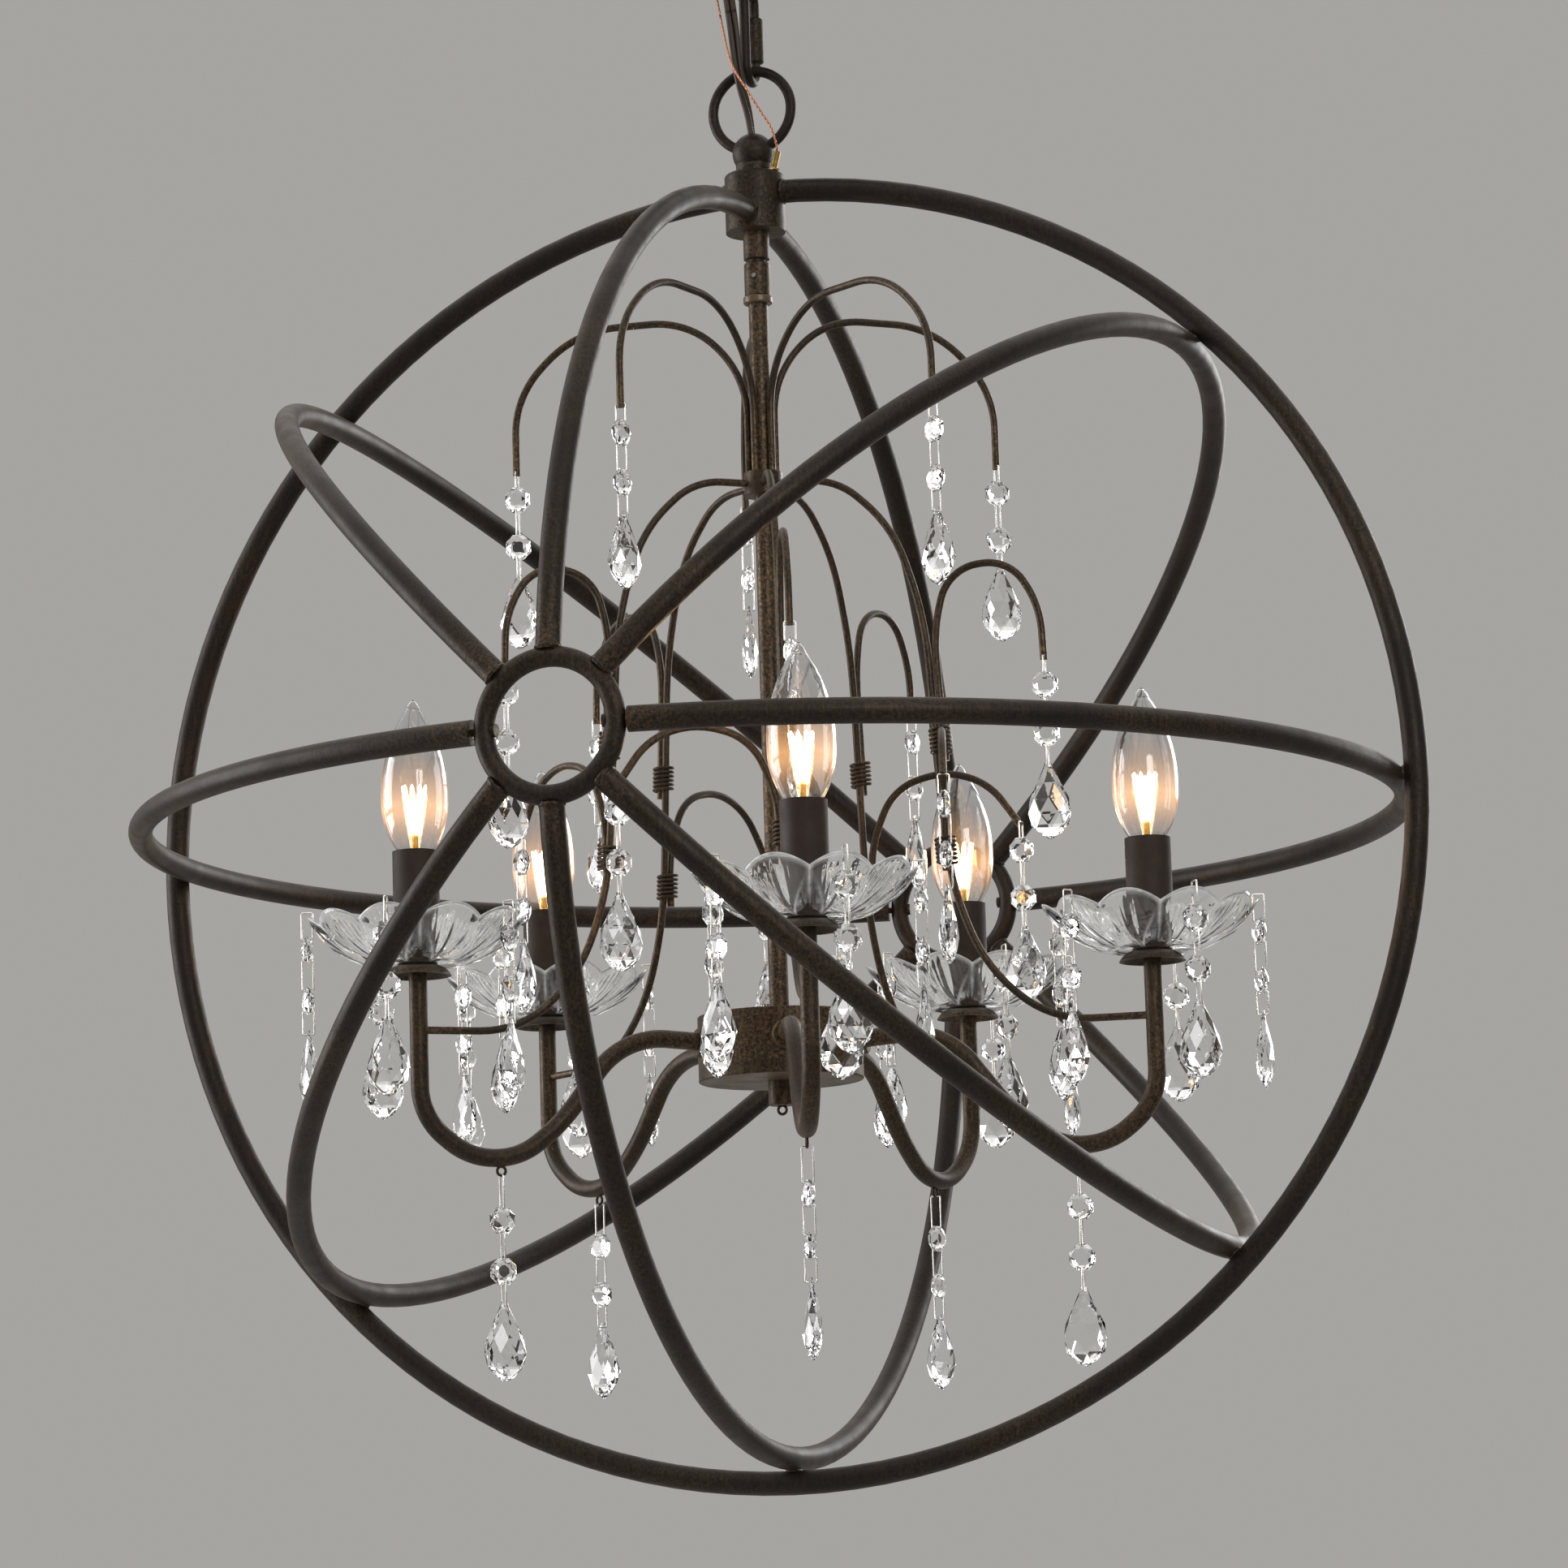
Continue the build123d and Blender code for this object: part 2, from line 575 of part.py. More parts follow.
def arm_bore(radius, length):
    """A straight cylinder along the arm's first run, its middle in the drum's wall."""
    start = Vector(ARM_INNER_R, 0, ARM_START_Z)
    run = Vector(ARM_SHOULDER_R, 0, ARM_START_Z + ARM_LIFT) - start
    middle = start + run * ((DRUM_R - ARM_INNER_R) / run.X)
    return Plane(origin=middle, z_dir=run) * Cylinder(radius, length)


def drum():
    low = DRUM_TOP - DRUM_H
    body = post(DRUM_R, low, DRUM_TOP)
    body = fillet(body.edges().sort_by(Axis.Z)[-1], 0.8)
    body = body - post(DRUM_R - DRUM_WALL, low - 1, DRUM_TOP - DRUM_WALL)
    body = body - post(STEM_R + FIT, low, DRUM_TOP + 1)
    hole = arm_bore(ARM_TUBE_R + FIT, 3 * ARM_SEAT)
    for cut in ring_around(ARMS, hole, ARM_AZIMUTH):
        body = body - cut
    return solid_of(body)


def drum_cover():
    high = DRUM_TOP - DRUM_H
    body = post(DRUM_R, COVER_LOW, high)
    body = fillet(body.edges().sort_by(Axis.Z)[0], 0.8)
    body = body - post(DRUM_R - 2 * DRUM_WALL - FIT, COVER_FLOOR, high + 1)
    lip = post(DRUM_R - DRUM_WALL - FIT, high, high + COVER_LIP)
    lip = lip - post(DRUM_R - 2 * DRUM_WALL - FIT, high - 1, high + COVER_LIP + 1)
    return solid_of(body + lip - post(STUD_R + FIT, COVER_LOW - 1, COVER_FLOOR + 1))


def finial():
    """The bottom knob on its stud, with a little hook under it."""
    low = COVER_LOW - FINIAL_H
    knob = post(FINIAL_R, low, COVER_LOW)
    knob = fillet(knob.edges().filter_by(GeomType.CIRCLE).sort_by(Axis.Z)[0], 0.8)
    hook = Pos(0, 0, low - EYELET_R) * Rot(90, 0, 0) * Torus(EYELET_R, EYELET_WIRE_R)
    return solid_of(knob + post(STUD_R, COVER_LOW, COVER_LOW + STUD_LENGTH) + hook)


# ---- rods ----------------------------------------------------------------------------------
SPRAY_FIRST = ARM_AZIMUTH + 180 / ARMS


def brace_r_at(z):
    """Radius of the brace's long straight run at a height."""
    return BRACE_TOP_R + (BRACE_LOW_R - BRACE_TOP_R) * (BRACE_TOP_Z - z) / (BRACE_TOP_Z - BRACE_LOW_Z)


def end_hole(r, z):
    """A drilled hole across the end of a hanging rod."""
    return Pos(r, 0, z + HOLE_INSET) * Rot(90, 0, 0) * Cylinder(HOLE_R, 3 * ROD_R)


def spray_rod():
    end = SPRAY_END_R
    rise = SPRAY_PEAK_Z
    points = [(SPRAY_BASE_R, COLLAR_TOP - ROD_SEAT + FIT), (SPRAY_BASE_R, rise - 34),
              (SPRAY_BASE_R + 31, rise), (end - 35, rise), (end, rise - 34), (end, SPRAY_END_Z)]
    return solid_of(bent_rod(upright(points), ROD_R) - end_hole(end, SPRAY_END_Z))


def brace_rod():
    points = [(COLLAR_R - ROD_SEAT + FIT, BRACE_SIDE_Z), (40, BRACE_SIDE_Z),
              (BRACE_TOP_R - 16, BRACE_TOP_Z + 50), (BRACE_TOP_R, BRACE_TOP_Z),
              (BRACE_LOW_R, BRACE_LOW_Z), (BRACE_LOW_R + 17, BRACE_END_Z + 31),
              (BRACE_LOW_R + 51, BRACE_END_Z), (ARM_R - ARM_TUBE_R / 2, BRACE_END_Z - 0.4)]
    rod = bent_rod(upright(points), ROD_R)
    return solid_of(rod - post(ARM_TUBE_R + FIT, BRACE_END_Z - 9, BRACE_END_Z + 9, ARM_R))


def upper_twig():
    low = UPPER_WRAP_Z - 11
    bend = UPPER_TWIG_TOP_Z - 36
    end = UPPER_TWIG_END_R
    points = [(brace_r_at(low) + TWIG_STEP, low), (brace_r_at(bend) + TWIG_STEP, bend),
              (BRACE_TOP_R + 14, UPPER_TWIG_TOP_Z - 3), (end - 17, UPPER_TWIG_TOP_Z),
              (end - 1, UPPER_TWIG_TOP_Z - 27), (end, UPPER_TWIG_END_Z)]
    return solid_of(bent_rod(upright(points), ROD_R) - end_hole(end, UPPER_TWIG_END_Z))


def lower_twig():
    """A planar twig that leaves beside the brace, headed across the gap between two arms."""
    top = LOWER_TWIG_TOP_Z
    reach = LOWER_TWIG_REACH
    points = [(0, LOWER_WRAP_Z - 11), (0, top - 38), (14, top - 7), (44, top), (reach - 17, top - 9),
              (reach, LOWER_TWIG_END_Z)]
    twig = bent_rod(upright(points), ROD_R) - end_hole(reach, LOWER_TWIG_END_Z)
    return solid_of(Pos(*lower_twig_foot()) * twig.rotate(Axis.Z, LOWER_TWIG_TURN))


def lower_twig_foot():
    return (brace_r_at(LOWER_WRAP_Z), -TWIG_STEP, 0)


def helix_points(radius, pitch, turns):
    """Points and headings of a helix at every quarter turn, about the upright axis."""
    rows = []
    for i in range(4 * turns + 1):
        angle = math.radians(90 * i)
        spot = Vector(radius * math.cos(angle), radius * math.sin(angle), pitch * i / 4)
        slope = pitch / (2 * math.pi * radius)
        heading = Vector(-math.sin(angle), math.cos(angle), slope).normalized()
        rows.append((spot, heading))
    return rows


def biarc(start, heading, end, last_heading):
    """Two arcs that join two points with given headings, meeting tangent in between."""
    chord = end - start
    both = heading + last_heading
    spread = 2 * (1 - heading.dot(last_heading))
    across = chord.dot(both)
    reach = (-across + math.sqrt(across ** 2 + spread * chord.dot(chord))) / spread
    joint = (start + end + (heading - last_heading) * reach) * 0.5
    middle_heading = (joint - (start + heading * reach)).normalized()
    return [TangentArc(start, joint, tangent=heading), TangentArc(joint, end, tangent=middle_heading)]


def wrap_shape():
    """Wire wound round a brace and its twig: one unbroken tube of WRAP_TURNS turns."""
    radius = TWIG_STEP / 2 + ROD_R + WRAP_PLAY + WRAP_WIRE_R
    rows = helix_points(radius, WRAP_PITCH, WRAP_TURNS)
    edges = []
    for (a, ta), (b, tb) in zip(rows, rows[1:]):
        edges += biarc(a, ta, b, tb)
    path = Wire(edges)
    section = Plane(origin=path @ 0, z_dir=path % 0) * Circle(WRAP_WIRE_R)
    coil = sweep(section, path=path)
    print("wrap: least gap to itself", round(WRAP_PITCH * math.cos(math.atan(
        WRAP_PITCH / (2 * math.pi * radius))) - 2 * WRAP_WIRE_R, 2))
    return Pos(0, 0, -WRAP_PITCH * WRAP_TURNS / 2) * coil


def wraps():
    """Both wraps of one arm, leaned as the brace leans."""
    coil = wrap_shape()
    lean = math.degrees(math.atan2(BRACE_LOW_R - BRACE_TOP_R, BRACE_TOP_Z - BRACE_LOW_Z))
    upper = Pos(brace_r_at(UPPER_WRAP_Z) + TWIG_STEP / 2, 0, UPPER_WRAP_Z) * Rot(0, -lean, 0) * coil
    lower = Pos(brace_r_at(LOWER_WRAP_Z), -TWIG_STEP / 2, LOWER_WRAP_Z) * Rot(0, -lean, 0) * coil
    return [solid_of(upper), solid_of(lower)]


# ---- arms and candles ----------------------------------------------------------------------
def arm_points(start_r, top):
    return upright([
        (start_r, ARM_START_Z), (ARM_SHOULDER_R, ARM_START_Z + ARM_LIFT), (ARM_LOW_R - 34, ARM_LOW_Z + 18.5),
        (ARM_LOW_R - 10, ARM_LOW_Z), (ARM_R - 26, ARM_LOW_Z), (ARM_R, ARM_LOW_Z + 21), (ARM_R, top)])


def arm():
    body = bent_rod(arm_points(ARM_INNER_R, ARM_TOP), ARM_TUBE_R)
    body = body - bent_rod(arm_points(ARM_INNER_R, ARM_TOP), ARM_TUBE_R - ARM_WALL)
    nipple = post(NIPPLE_R, ARM_TOP - 6, ARM_TOP + NIPPLE_LENGTH, ARM_R)
    nipple = nipple - post(NIPPLE_BORE_R, ARM_TOP - 7, ARM_TOP + NIPPLE_LENGTH + 1, ARM_R)
    eyelet = Pos(ARM_LOW_R, 0, EYELET_Z) * Rot(90, 0, 0) * Torus(EYELET_R, EYELET_WIRE_R)
    eyelet = eyelet - Pos(ARM_LOW_R, 0, ARM_LOW_Z) * Rot(0, 90, 0) * Cylinder(ARM_TUBE_R - ARM_WALL / 2, 12)
    return solid_of(body + nipple + eyelet)


EYELET_Z = ARM_LOW_Z - ARM_TUBE_R - EYELET_R + 0.3
CUP_TOP = ARM_TOP + CUP_WALL
DISH_LOW = CUP_TOP
CANDLE_LOW = DISH_LOW + DISH_FLOOR
SOCKET_LOW = CANDLE_LOW + 1.5
SOCKET_TOP = CANDLE_TOP - SOCKET_INSET


def arm_wire():
    wire = bent_rod(arm_points(ARM_INNER_R - ARM_WIRE_TAIL, ARM_TOP + NIPPLE_LENGTH - 1), ARM_WIRE_R)
    return solid_of(wire)


def arm_collar():
    body = Pos(DRUM_R + ARM_COLLAR_H / 2, 0, ARM_START_Z) * Rot(0, 90, 0) * Cylinder(ARM_COLLAR_R, ARM_COLLAR_H)
    body = chamfer(body.edges().filter_by(GeomType.CIRCLE).sort_by(Axis.X)[-1], 1.0)
    body = body - post(DRUM_R + FIT / 2, ARM_START_Z - 20, ARM_START_Z + 20)
    hole = arm_bore(ARM_TUBE_R + FIT, 4 * ARM_COLLAR_H)
    return solid_of(body - hole)


def drip_cup():
    """A spun metal cap under the glass, open below."""
    low = CUP_TOP - CUP_H
    with BuildSketch(Plane.XZ) as sketch:
        with BuildLine():
            Polyline((NIPPLE_R + FIT, CUP_TOP - CUP_WALL), (NIPPLE_R + FIT, CUP_TOP), (CUP_TOP_R, CUP_TOP))
            ThreePointArc((CUP_TOP_R, CUP_TOP), (CUP_R * 0.84, CUP_TOP - CUP_H * 0.36), (CUP_R, low))
            Line((CUP_R, low), (CUP_R - CUP_WALL, low))
            ThreePointArc((CUP_R - CUP_WALL, low), (CUP_R * 0.84 - CUP_WALL * 0.7, CUP_TOP - CUP_H * 0.36 - CUP_WALL * 0.7),
                          (CUP_TOP_R, CUP_TOP - CUP_WALL))
            Line((CUP_TOP_R, CUP_TOP - CUP_WALL), (NIPPLE_R + FIT, CUP_TOP - CUP_WALL))
        make_face()
    return Pos(ARM_R, 0, 0) * revolve(sketch.sketch, Axis.Z, 360)


def petal_outline():
    """Plan of the dish: one disc for each petal, round a middle disc."""
    reach = DISH_R - PETAL_R
    plan = Circle(reach + PETAL_R / 2)
    for i in range(PETALS):
        plan = plan + Rot(0, 0, 360 / PETALS * i) * Pos(reach, 0) * Circle(PETAL_R)
    return plan


def glass_dish():
    """A shallow lotus dish with a petalled rim and drilled holes near its petal tips."""
    rim = DISH_LOW + DISH_H
    edge = DISH_R + 1
    swell_r = DISH_R * 0.76
    swell_z = DISH_LOW + DISH_H * 0.33
    with BuildSketch(Plane.XZ) as sketch:
        with BuildLine():
            Line((NIPPLE_R + 0.5, DISH_LOW), (DISH_FOOT_R, DISH_LOW))
            ThreePointArc((DISH_FOOT_R, DISH_LOW), (swell_r, swell_z), (edge, rim))
            Line((edge, rim), (edge - DISH_WALL, rim))
            ThreePointArc((edge - DISH_WALL, rim), (swell_r - DISH_WALL * 0.6, swell_z + DISH_WALL * 0.8),
                          (DISH_FOOT_R, DISH_LOW + DISH_FLOOR))
            Polyline((DISH_FOOT_R, DISH_LOW + DISH_FLOOR), (NIPPLE_R + 0.5, DISH_LOW + DISH_FLOOR),
                     (NIPPLE_R + 0.5, DISH_LOW))
        make_face()
    plan = Pos(0, 0, DISH_LOW - 1) * extrude(petal_outline(), DISH_H + 2)
    dish = revolve(sketch.sketch, Axis.Z, 360) & plan
    for cut in ring_around(STRANDS_PER_DISH, post(HOLE_R, DISH_LOW, rim + 1, DISH_R - DISH_HOLE_INSET)):
        dish = dish - cut
    return solid_of(dish)


# a rim clip goes down through the hole and up outside the petal, its bar over the edge
RIM_HANG_R = DISH_R - DISH_HOLE_INSET + CLIP_WIDTH / 2
RIM_HANG_Z = DISH_LOW + DISH_H + HOLE_R


def candle_sleeve():
    body = post(CANDLE_R, CANDLE_LOW, CANDLE_TOP, ARM_R)
    return solid_of(body - post(CANDLE_R - CANDLE_WALL, CANDLE_LOW - 1, CANDLE_TOP + 1, ARM_R))


def lamp_socket():
    body = post(SOCKET_R, SOCKET_LOW, SOCKET_TOP, ARM_R)
    body = body - post(NIPPLE_R + FIT, SOCKET_LOW - 1, ARM_TOP + NIPPLE_LENGTH + 0.2, ARM_R)
    return solid_of(body - post(BULB_BASE_R + RUN_FIT, SOCKET_TOP - BULB_BASE_H - 2, SOCKET_TOP + 1, ARM_R))


def bulb_glass():
    """The candle bulb's thin wall: a swelling, a long taper and a small rounded tip."""
    with BuildSketch(Plane.XZ) as sketch:
        with BuildLine():
            for inset in (0, BULB_WALL):
                foot = BULB_BASE_R - inset
                neck = BULB_NECK_R - inset
                wide = BULB_R - inset
                tip = BULB_H - inset
                Line((foot, -SOCKET_INSET), (neck, 0))
                ThreePointArc((neck, 0), (wide * 0.87, BULB_WIDEST * 0.43), (wide, BULB_WIDEST))
                ThreePointArc((wide, BULB_WIDEST), (wide * 0.79, tip * 0.68), (wide * 0.22, tip - 5))
                ThreePointArc((wide * 0.22, tip - 5), (wide * 0.14, tip - 1.7), (BULB_TIP_R, tip))
                Line((BULB_TIP_R, tip), (0, tip))
            Line((0, BULB_H), (0, BULB_H - BULB_WALL))
            Line((BULB_BASE_R, -SOCKET_INSET), (BULB_BASE_R - BULB_WALL, -SOCKET_INSET))
        make_face()
    return solid_of(Pos(ARM_R, 0, CANDLE_TOP) * revolve(sketch.sketch, Axis.Z, 360))


def bulb_base():
    """The screw base and the glass stem that carries the filament."""
    base = post(BULB_BASE_R, SOCKET_TOP - BULB_BASE_H, SOCKET_TOP, ARM_R)
    base = base + post(1.6, SOCKET_TOP, CANDLE_TOP + 14, ARM_R)
    return solid_of(base + Pos(ARM_R, 0, CANDLE_TOP + 20) * Cone(0.6, 2.4, 13))


# ---- crystal strands -----------------------------------------------------------------------
def clip(length):
    """A wire link, an upright rounded rectangle across the strand's face, top bar at zero."""
    outline = RectangleRounded(CLIP_WIDTH, length, CLIP_CORNER)
    path = (Plane.YZ * (Pos(0, -length / 2) * outline)).wire()
    section = Plane(origin=path @ 0, z_dir=path % 0) * Circle(CLIP_R)
    return solid_of(sweep(section, path=path))


def bead():
    """A flat octagon with tables front and back and a hole above and below."""
    rim = RegularPolygon(BEAD_R, 8, rotation=22.5)
    table = RegularPolygon(BEAD_TABLE_R, 8, rotation=22.5)
    body = extrude(rim, BEAD_EDGE, both=True)
    half = loft([Pos(0, 0, BEAD_EDGE) * rim, Pos(0, 0, BEAD_HALF) * table], ruled=True)
    body = body + half + half.rotate(Axis.X, 180)
    for side in (-1, 1):
        body = body - Pos(0, side * BEAD_HOLE, 0) * Cylinder(HOLE_R, 4 * BEAD_HALF)
    return solid_of(body.rotate(Axis.X, 90))


def teardrop():
    """A flattened, faceted pear: similar octagons down its length, pierced near the top."""
    rows = [(0.0, 0.16), (0.12, 0.28), (0.32, 0.66), (0.52, 0.92), (0.68, 1.0), (0.83, 0.82), (0.94, 0.46),
            (1.0, 0.1)]
    sections = []
    for down, wide in rows:
        shape = RegularPolygon(DROP_R * wide, 8, rotation=22.5)
        flat = scale(shape, by=(1, DROP_FLAT, 1))
        sections.append(Pos(0, 0, -DROP_H * down) * flat)
    body = loft(sections, ruled=True)
    return solid_of(body - Pos(0, 0, -DROP_HOLE) * Rot(90, 0, 0) * Cylinder(HOLE_R, 6))


BEAD_SHAPE = bead()
DROP_SHAPE = teardrop()
CLIP_SLACK = HOLE_R - CLIP_R - FIT     # a clip bar rests against the edge of its hole


def strand(extra=0.0):
    """One strand, hung from a hole at zero: clip, bead, clip, bead, clip, teardrop.

    Its clips lie across the local X axis and its crystals face along Y.
    """
    first = -BEAD_DROP - extra
    second = first - BEAD_PITCH
    drop = -DROP_TOP - extra
    spans = [(0, first + BEAD_HOLE), (first - BEAD_HOLE, second + BEAD_HOLE),
             (second - BEAD_HOLE, drop - DROP_HOLE)]
    pieces = [Pos(0, 0, first) * BEAD_SHAPE, Pos(0, 0, second) * BEAD_SHAPE, Pos(0, 0, drop) * DROP_SHAPE]
    for high, low in spans:
        pieces.append(Pos(0, 0, high - CLIP_SLACK) * clip(high - low - 2 * CLIP_SLACK))
    return [solid_of(p) for p in pieces]


def hung(pieces, r, z, azimuth, turn=0.0):
    return [(Pos(r, 0, z) * p.rotate(Axis.Z, turn)).rotate(Axis.Z, azimuth) for p in pieces]


SHORT_STRAND = strand()
LONG_STRAND = strand(LONG_CLIP_EXTRA)
RIM_STRAND = strand(RIM_CLIP_EXTRA)
arm_angles = [ARM_AZIMUTH + 360 / ARMS * i for i in range(ARMS)]
spray_angles = [SPRAY_FIRST + 360 / ARMS * i for i in range(ARMS)]
arm_names = ["front", "right", "back_right", "back_left", "left"]

spray_strands = []
twig_strands = []
side_twig_strands = []
dish_strands = []
for i, angle in enumerate(arm_angles):
    spray_strands += hung(SHORT_STRAND, SPRAY_END_R, SPRAY_END_Z + HOLE_INSET, spray_angles[i])
    twig_strands += hung(SHORT_STRAND, UPPER_TWIG_END_R, UPPER_TWIG_END_Z + HOLE_INSET, angle)
    foot = Vector(*lower_twig_foot())
    heading = math.radians(LOWER_TWIG_TURN)
    end_x = foot.X + LOWER_TWIG_REACH * math.cos(heading)
    end_y = foot.Y + LOWER_TWIG_REACH * math.sin(heading)
    for p in SHORT_STRAND:
        piece = Pos(end_x, end_y, LOWER_TWIG_END_Z + HOLE_INSET) * p.rotate(Axis.Z, LOWER_TWIG_TURN)
        side_twig_strands.append(piece.rotate(Axis.Z, angle))
    for k in range(STRANDS_PER_DISH):
        around = DISH_TURNS[i] + 360 / STRANDS_PER_DISH * k
        for p in RIM_STRAND:
            piece = (Pos(RIM_HANG_R, 0, RIM_HANG_Z) * p.rotate(Axis.Z, 90)).rotate(Axis.Z, around)
            dish_strands.append((Pos(ARM_R, 0, 0) * piece).rotate(Axis.Z, angle))

EYELET_HANG = EYELET_Z - EYELET_R + EYELET_WIRE_R + CLIP_R + FIT + CLIP_SLACK
for i, angle in enumerate(arm_angles):
    write(f"arm_strand_{arm_names[i]}", *hung(LONG_STRAND, ARM_LOW_R, EYELET_HANG, angle))

# ---- cords ---------------------------------------------------------------------------------
def cord_tube(name, points, radius):
    corners = [Vector(*p) for p in points]
    radii = corner_radii(corners, ROUTE_SHARE)
    path = FilletPolyline(*corners, radius=radii)
    tube = sweep(Plane(origin=path @ 0, z_dir=path % 0) * Circle(radius), path=path)
    section = math.pi * radius ** 2
    print(name, "radii", [round(r, 1) for r in radii], "length", round(path.length, 1),
          "volume against section times length", round(tube.volume / (section * path.length), 4))
    return solid_of(tube)


def split_route(start, points, at, end):
    """Cuts a route in two in the middle of one of its runs."""
    rows = [start] + points + [end]
    middle = tuple((a + b) / 2 for a, b in zip(rows[at], rows[at + 1]))
    return rows[:at + 1] + [middle], [middle] + rows[at + 1:]


LEAD_TOP = HUB_TOP + NECK_H
cord_low, cord_high = split_route((0, 0, LEAD_TOP), CORD_POINTS, 3, (*CORD_ENTRY, CANOPY_Z + LEAD_RISE))
ground_low, ground_high = split_route(LUG_TIP, GROUND_POINTS, 5, (*GROUND_ENTRY, CANOPY_Z + LEAD_RISE))

# ---- write every node ------------------------------------------------------------------------
write("mounting_strap", mounting_strap())
write("ceiling_canopy", canopy())
write("canopy_loop", canopy_loop())
write("canopy_nut", canopy_nut())
write("wire_caps", *canopy_caps())
write("supply_cord_upper", cord_tube("supply cord, upper", cord_high, CORD_R))
write("supply_cord_lower", cord_tube("supply cord, lower", cord_low, CORD_R))
write("ground_wire_upper", cord_tube("ground wire, upper", ground_high, GROUND_R))
write("ground_wire_lower", cord_tube("ground wire, lower", ground_low, GROUND_R))
write("quick_link", quick_link())
write("link_sleeve", link_sleeve())
write("hanging_loop", solid_of(loop_shape(LOOP_WIRE_R, LOOP_END_X)))
write("loop_ball", loop_ball())
write("ground_lug", ground_lug())
write("top_hub", hub())
write("outer_ring", solid_of(outer_ring))
write("vertical_hoop", vertical_front, vertical_back, vertical_low)
write("level_hoop", *level_hoop)
write("rising_hoop", *rising_hoop)
write("falling_hoop", *falling_hoop)
for name, ring in rings.items():
    write(name, ring)
write("pole_screws", *[solid_of(s) for s in pole_screws])
write("fixed_coupling", fixed_coupling())
write("swivel_coupling", swivel_coupling())
write("set_screw", set_screw())
write("stem_flange", flange())
write("stem_tube", stem())
write("spray_collar", spray_collar())
write("center_drum", drum())
write("drum_cover", drum_cover())
write("drum_finial", finial())
write("column_lead", solid_of(post(LEAD_R, DRUM_TOP - DRUM_WALL - 3 - WINDOW_H, LEAD_TOP)))
write("splice_caps", *[wire_cap(22 * math.cos(math.radians(a)), 22 * math.sin(math.radians(a)),
                                COVER_FLOOR + FIT) for a in spray_angles[:2]])
write("spray_rods", *ring_around(ARMS, spray_rod(), SPRAY_FIRST))
write("brace_rods", *ring_around(ARMS, brace_rod(), ARM_AZIMUTH))
write("twig_rods", *ring_around(ARMS, upper_twig(), ARM_AZIMUTH), *ring_around(ARMS, lower_twig(), ARM_AZIMUTH))
upper_wrap, lower_wrap = wraps()
write("twig_wraps", *ring_around(ARMS, upper_wrap, ARM_AZIMUTH), *ring_around(ARMS, lower_wrap, ARM_AZIMUTH))
one_arm = arm()
for i, angle in enumerate(arm_angles):
    write(f"arm_{arm_names[i]}", one_arm.rotate(Axis.Z, angle))
write("arm_wires", *ring_around(ARMS, arm_wire(), ARM_AZIMUTH))
write("arm_collars", *ring_around(ARMS, arm_collar(), ARM_AZIMUTH))
write("drip_cups", *ring_around(ARMS, solid_of(drip_cup()), ARM_AZIMUTH))
one_dish = glass_dish()
write("glass_dishes", *[(Pos(ARM_R, 0, 0) * one_dish.rotate(Axis.Z, DISH_TURNS[i])).rotate(Axis.Z, a)
                        for i, a in enumerate(arm_angles)])
write("candle_sleeves", *ring_around(ARMS, candle_sleeve(), ARM_AZIMUTH))
write("lamp_sockets", *ring_around(ARMS, lamp_socket(), ARM_AZIMUTH))
write("bulb_glasses", *ring_around(ARMS, bulb_glass(), ARM_AZIMUTH))
write("bulb_bases", *ring_around(ARMS, bulb_base(), ARM_AZIMUTH))
write("spray_strands", *spray_strands)
write("upper_twig_strands", *twig_strands)
write("lower_twig_strands", *side_twig_strands)
write("dish_strands", *dish_strands)
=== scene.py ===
"""Orb chandelier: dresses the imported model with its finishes, crystals, glass, cords and welds.

Metres, +Z up, origin in the middle of the ceiling face. Sizes below are millimetres above
the middle of the orb, as in the part's source, and in_frame() brings them into the frame.
"""
import bmesh
import bpy
import math
import numpy as np
from mathutils import Matrix, Vector


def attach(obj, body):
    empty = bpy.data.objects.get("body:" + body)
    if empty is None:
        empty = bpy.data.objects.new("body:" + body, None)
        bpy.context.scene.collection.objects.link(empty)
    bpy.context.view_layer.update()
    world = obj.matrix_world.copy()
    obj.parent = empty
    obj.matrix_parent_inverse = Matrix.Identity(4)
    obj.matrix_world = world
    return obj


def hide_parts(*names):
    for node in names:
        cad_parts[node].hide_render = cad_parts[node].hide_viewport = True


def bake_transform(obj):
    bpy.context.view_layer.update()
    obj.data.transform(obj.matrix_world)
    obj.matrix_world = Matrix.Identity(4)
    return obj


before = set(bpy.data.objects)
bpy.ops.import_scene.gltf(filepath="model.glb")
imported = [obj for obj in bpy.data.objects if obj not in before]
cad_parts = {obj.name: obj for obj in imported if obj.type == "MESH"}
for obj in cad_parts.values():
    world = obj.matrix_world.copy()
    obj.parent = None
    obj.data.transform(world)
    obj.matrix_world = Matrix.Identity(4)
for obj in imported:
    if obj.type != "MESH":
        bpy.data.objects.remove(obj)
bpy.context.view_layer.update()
scene = bpy.context.scene
scene.view_settings.view_transform = "Standard"

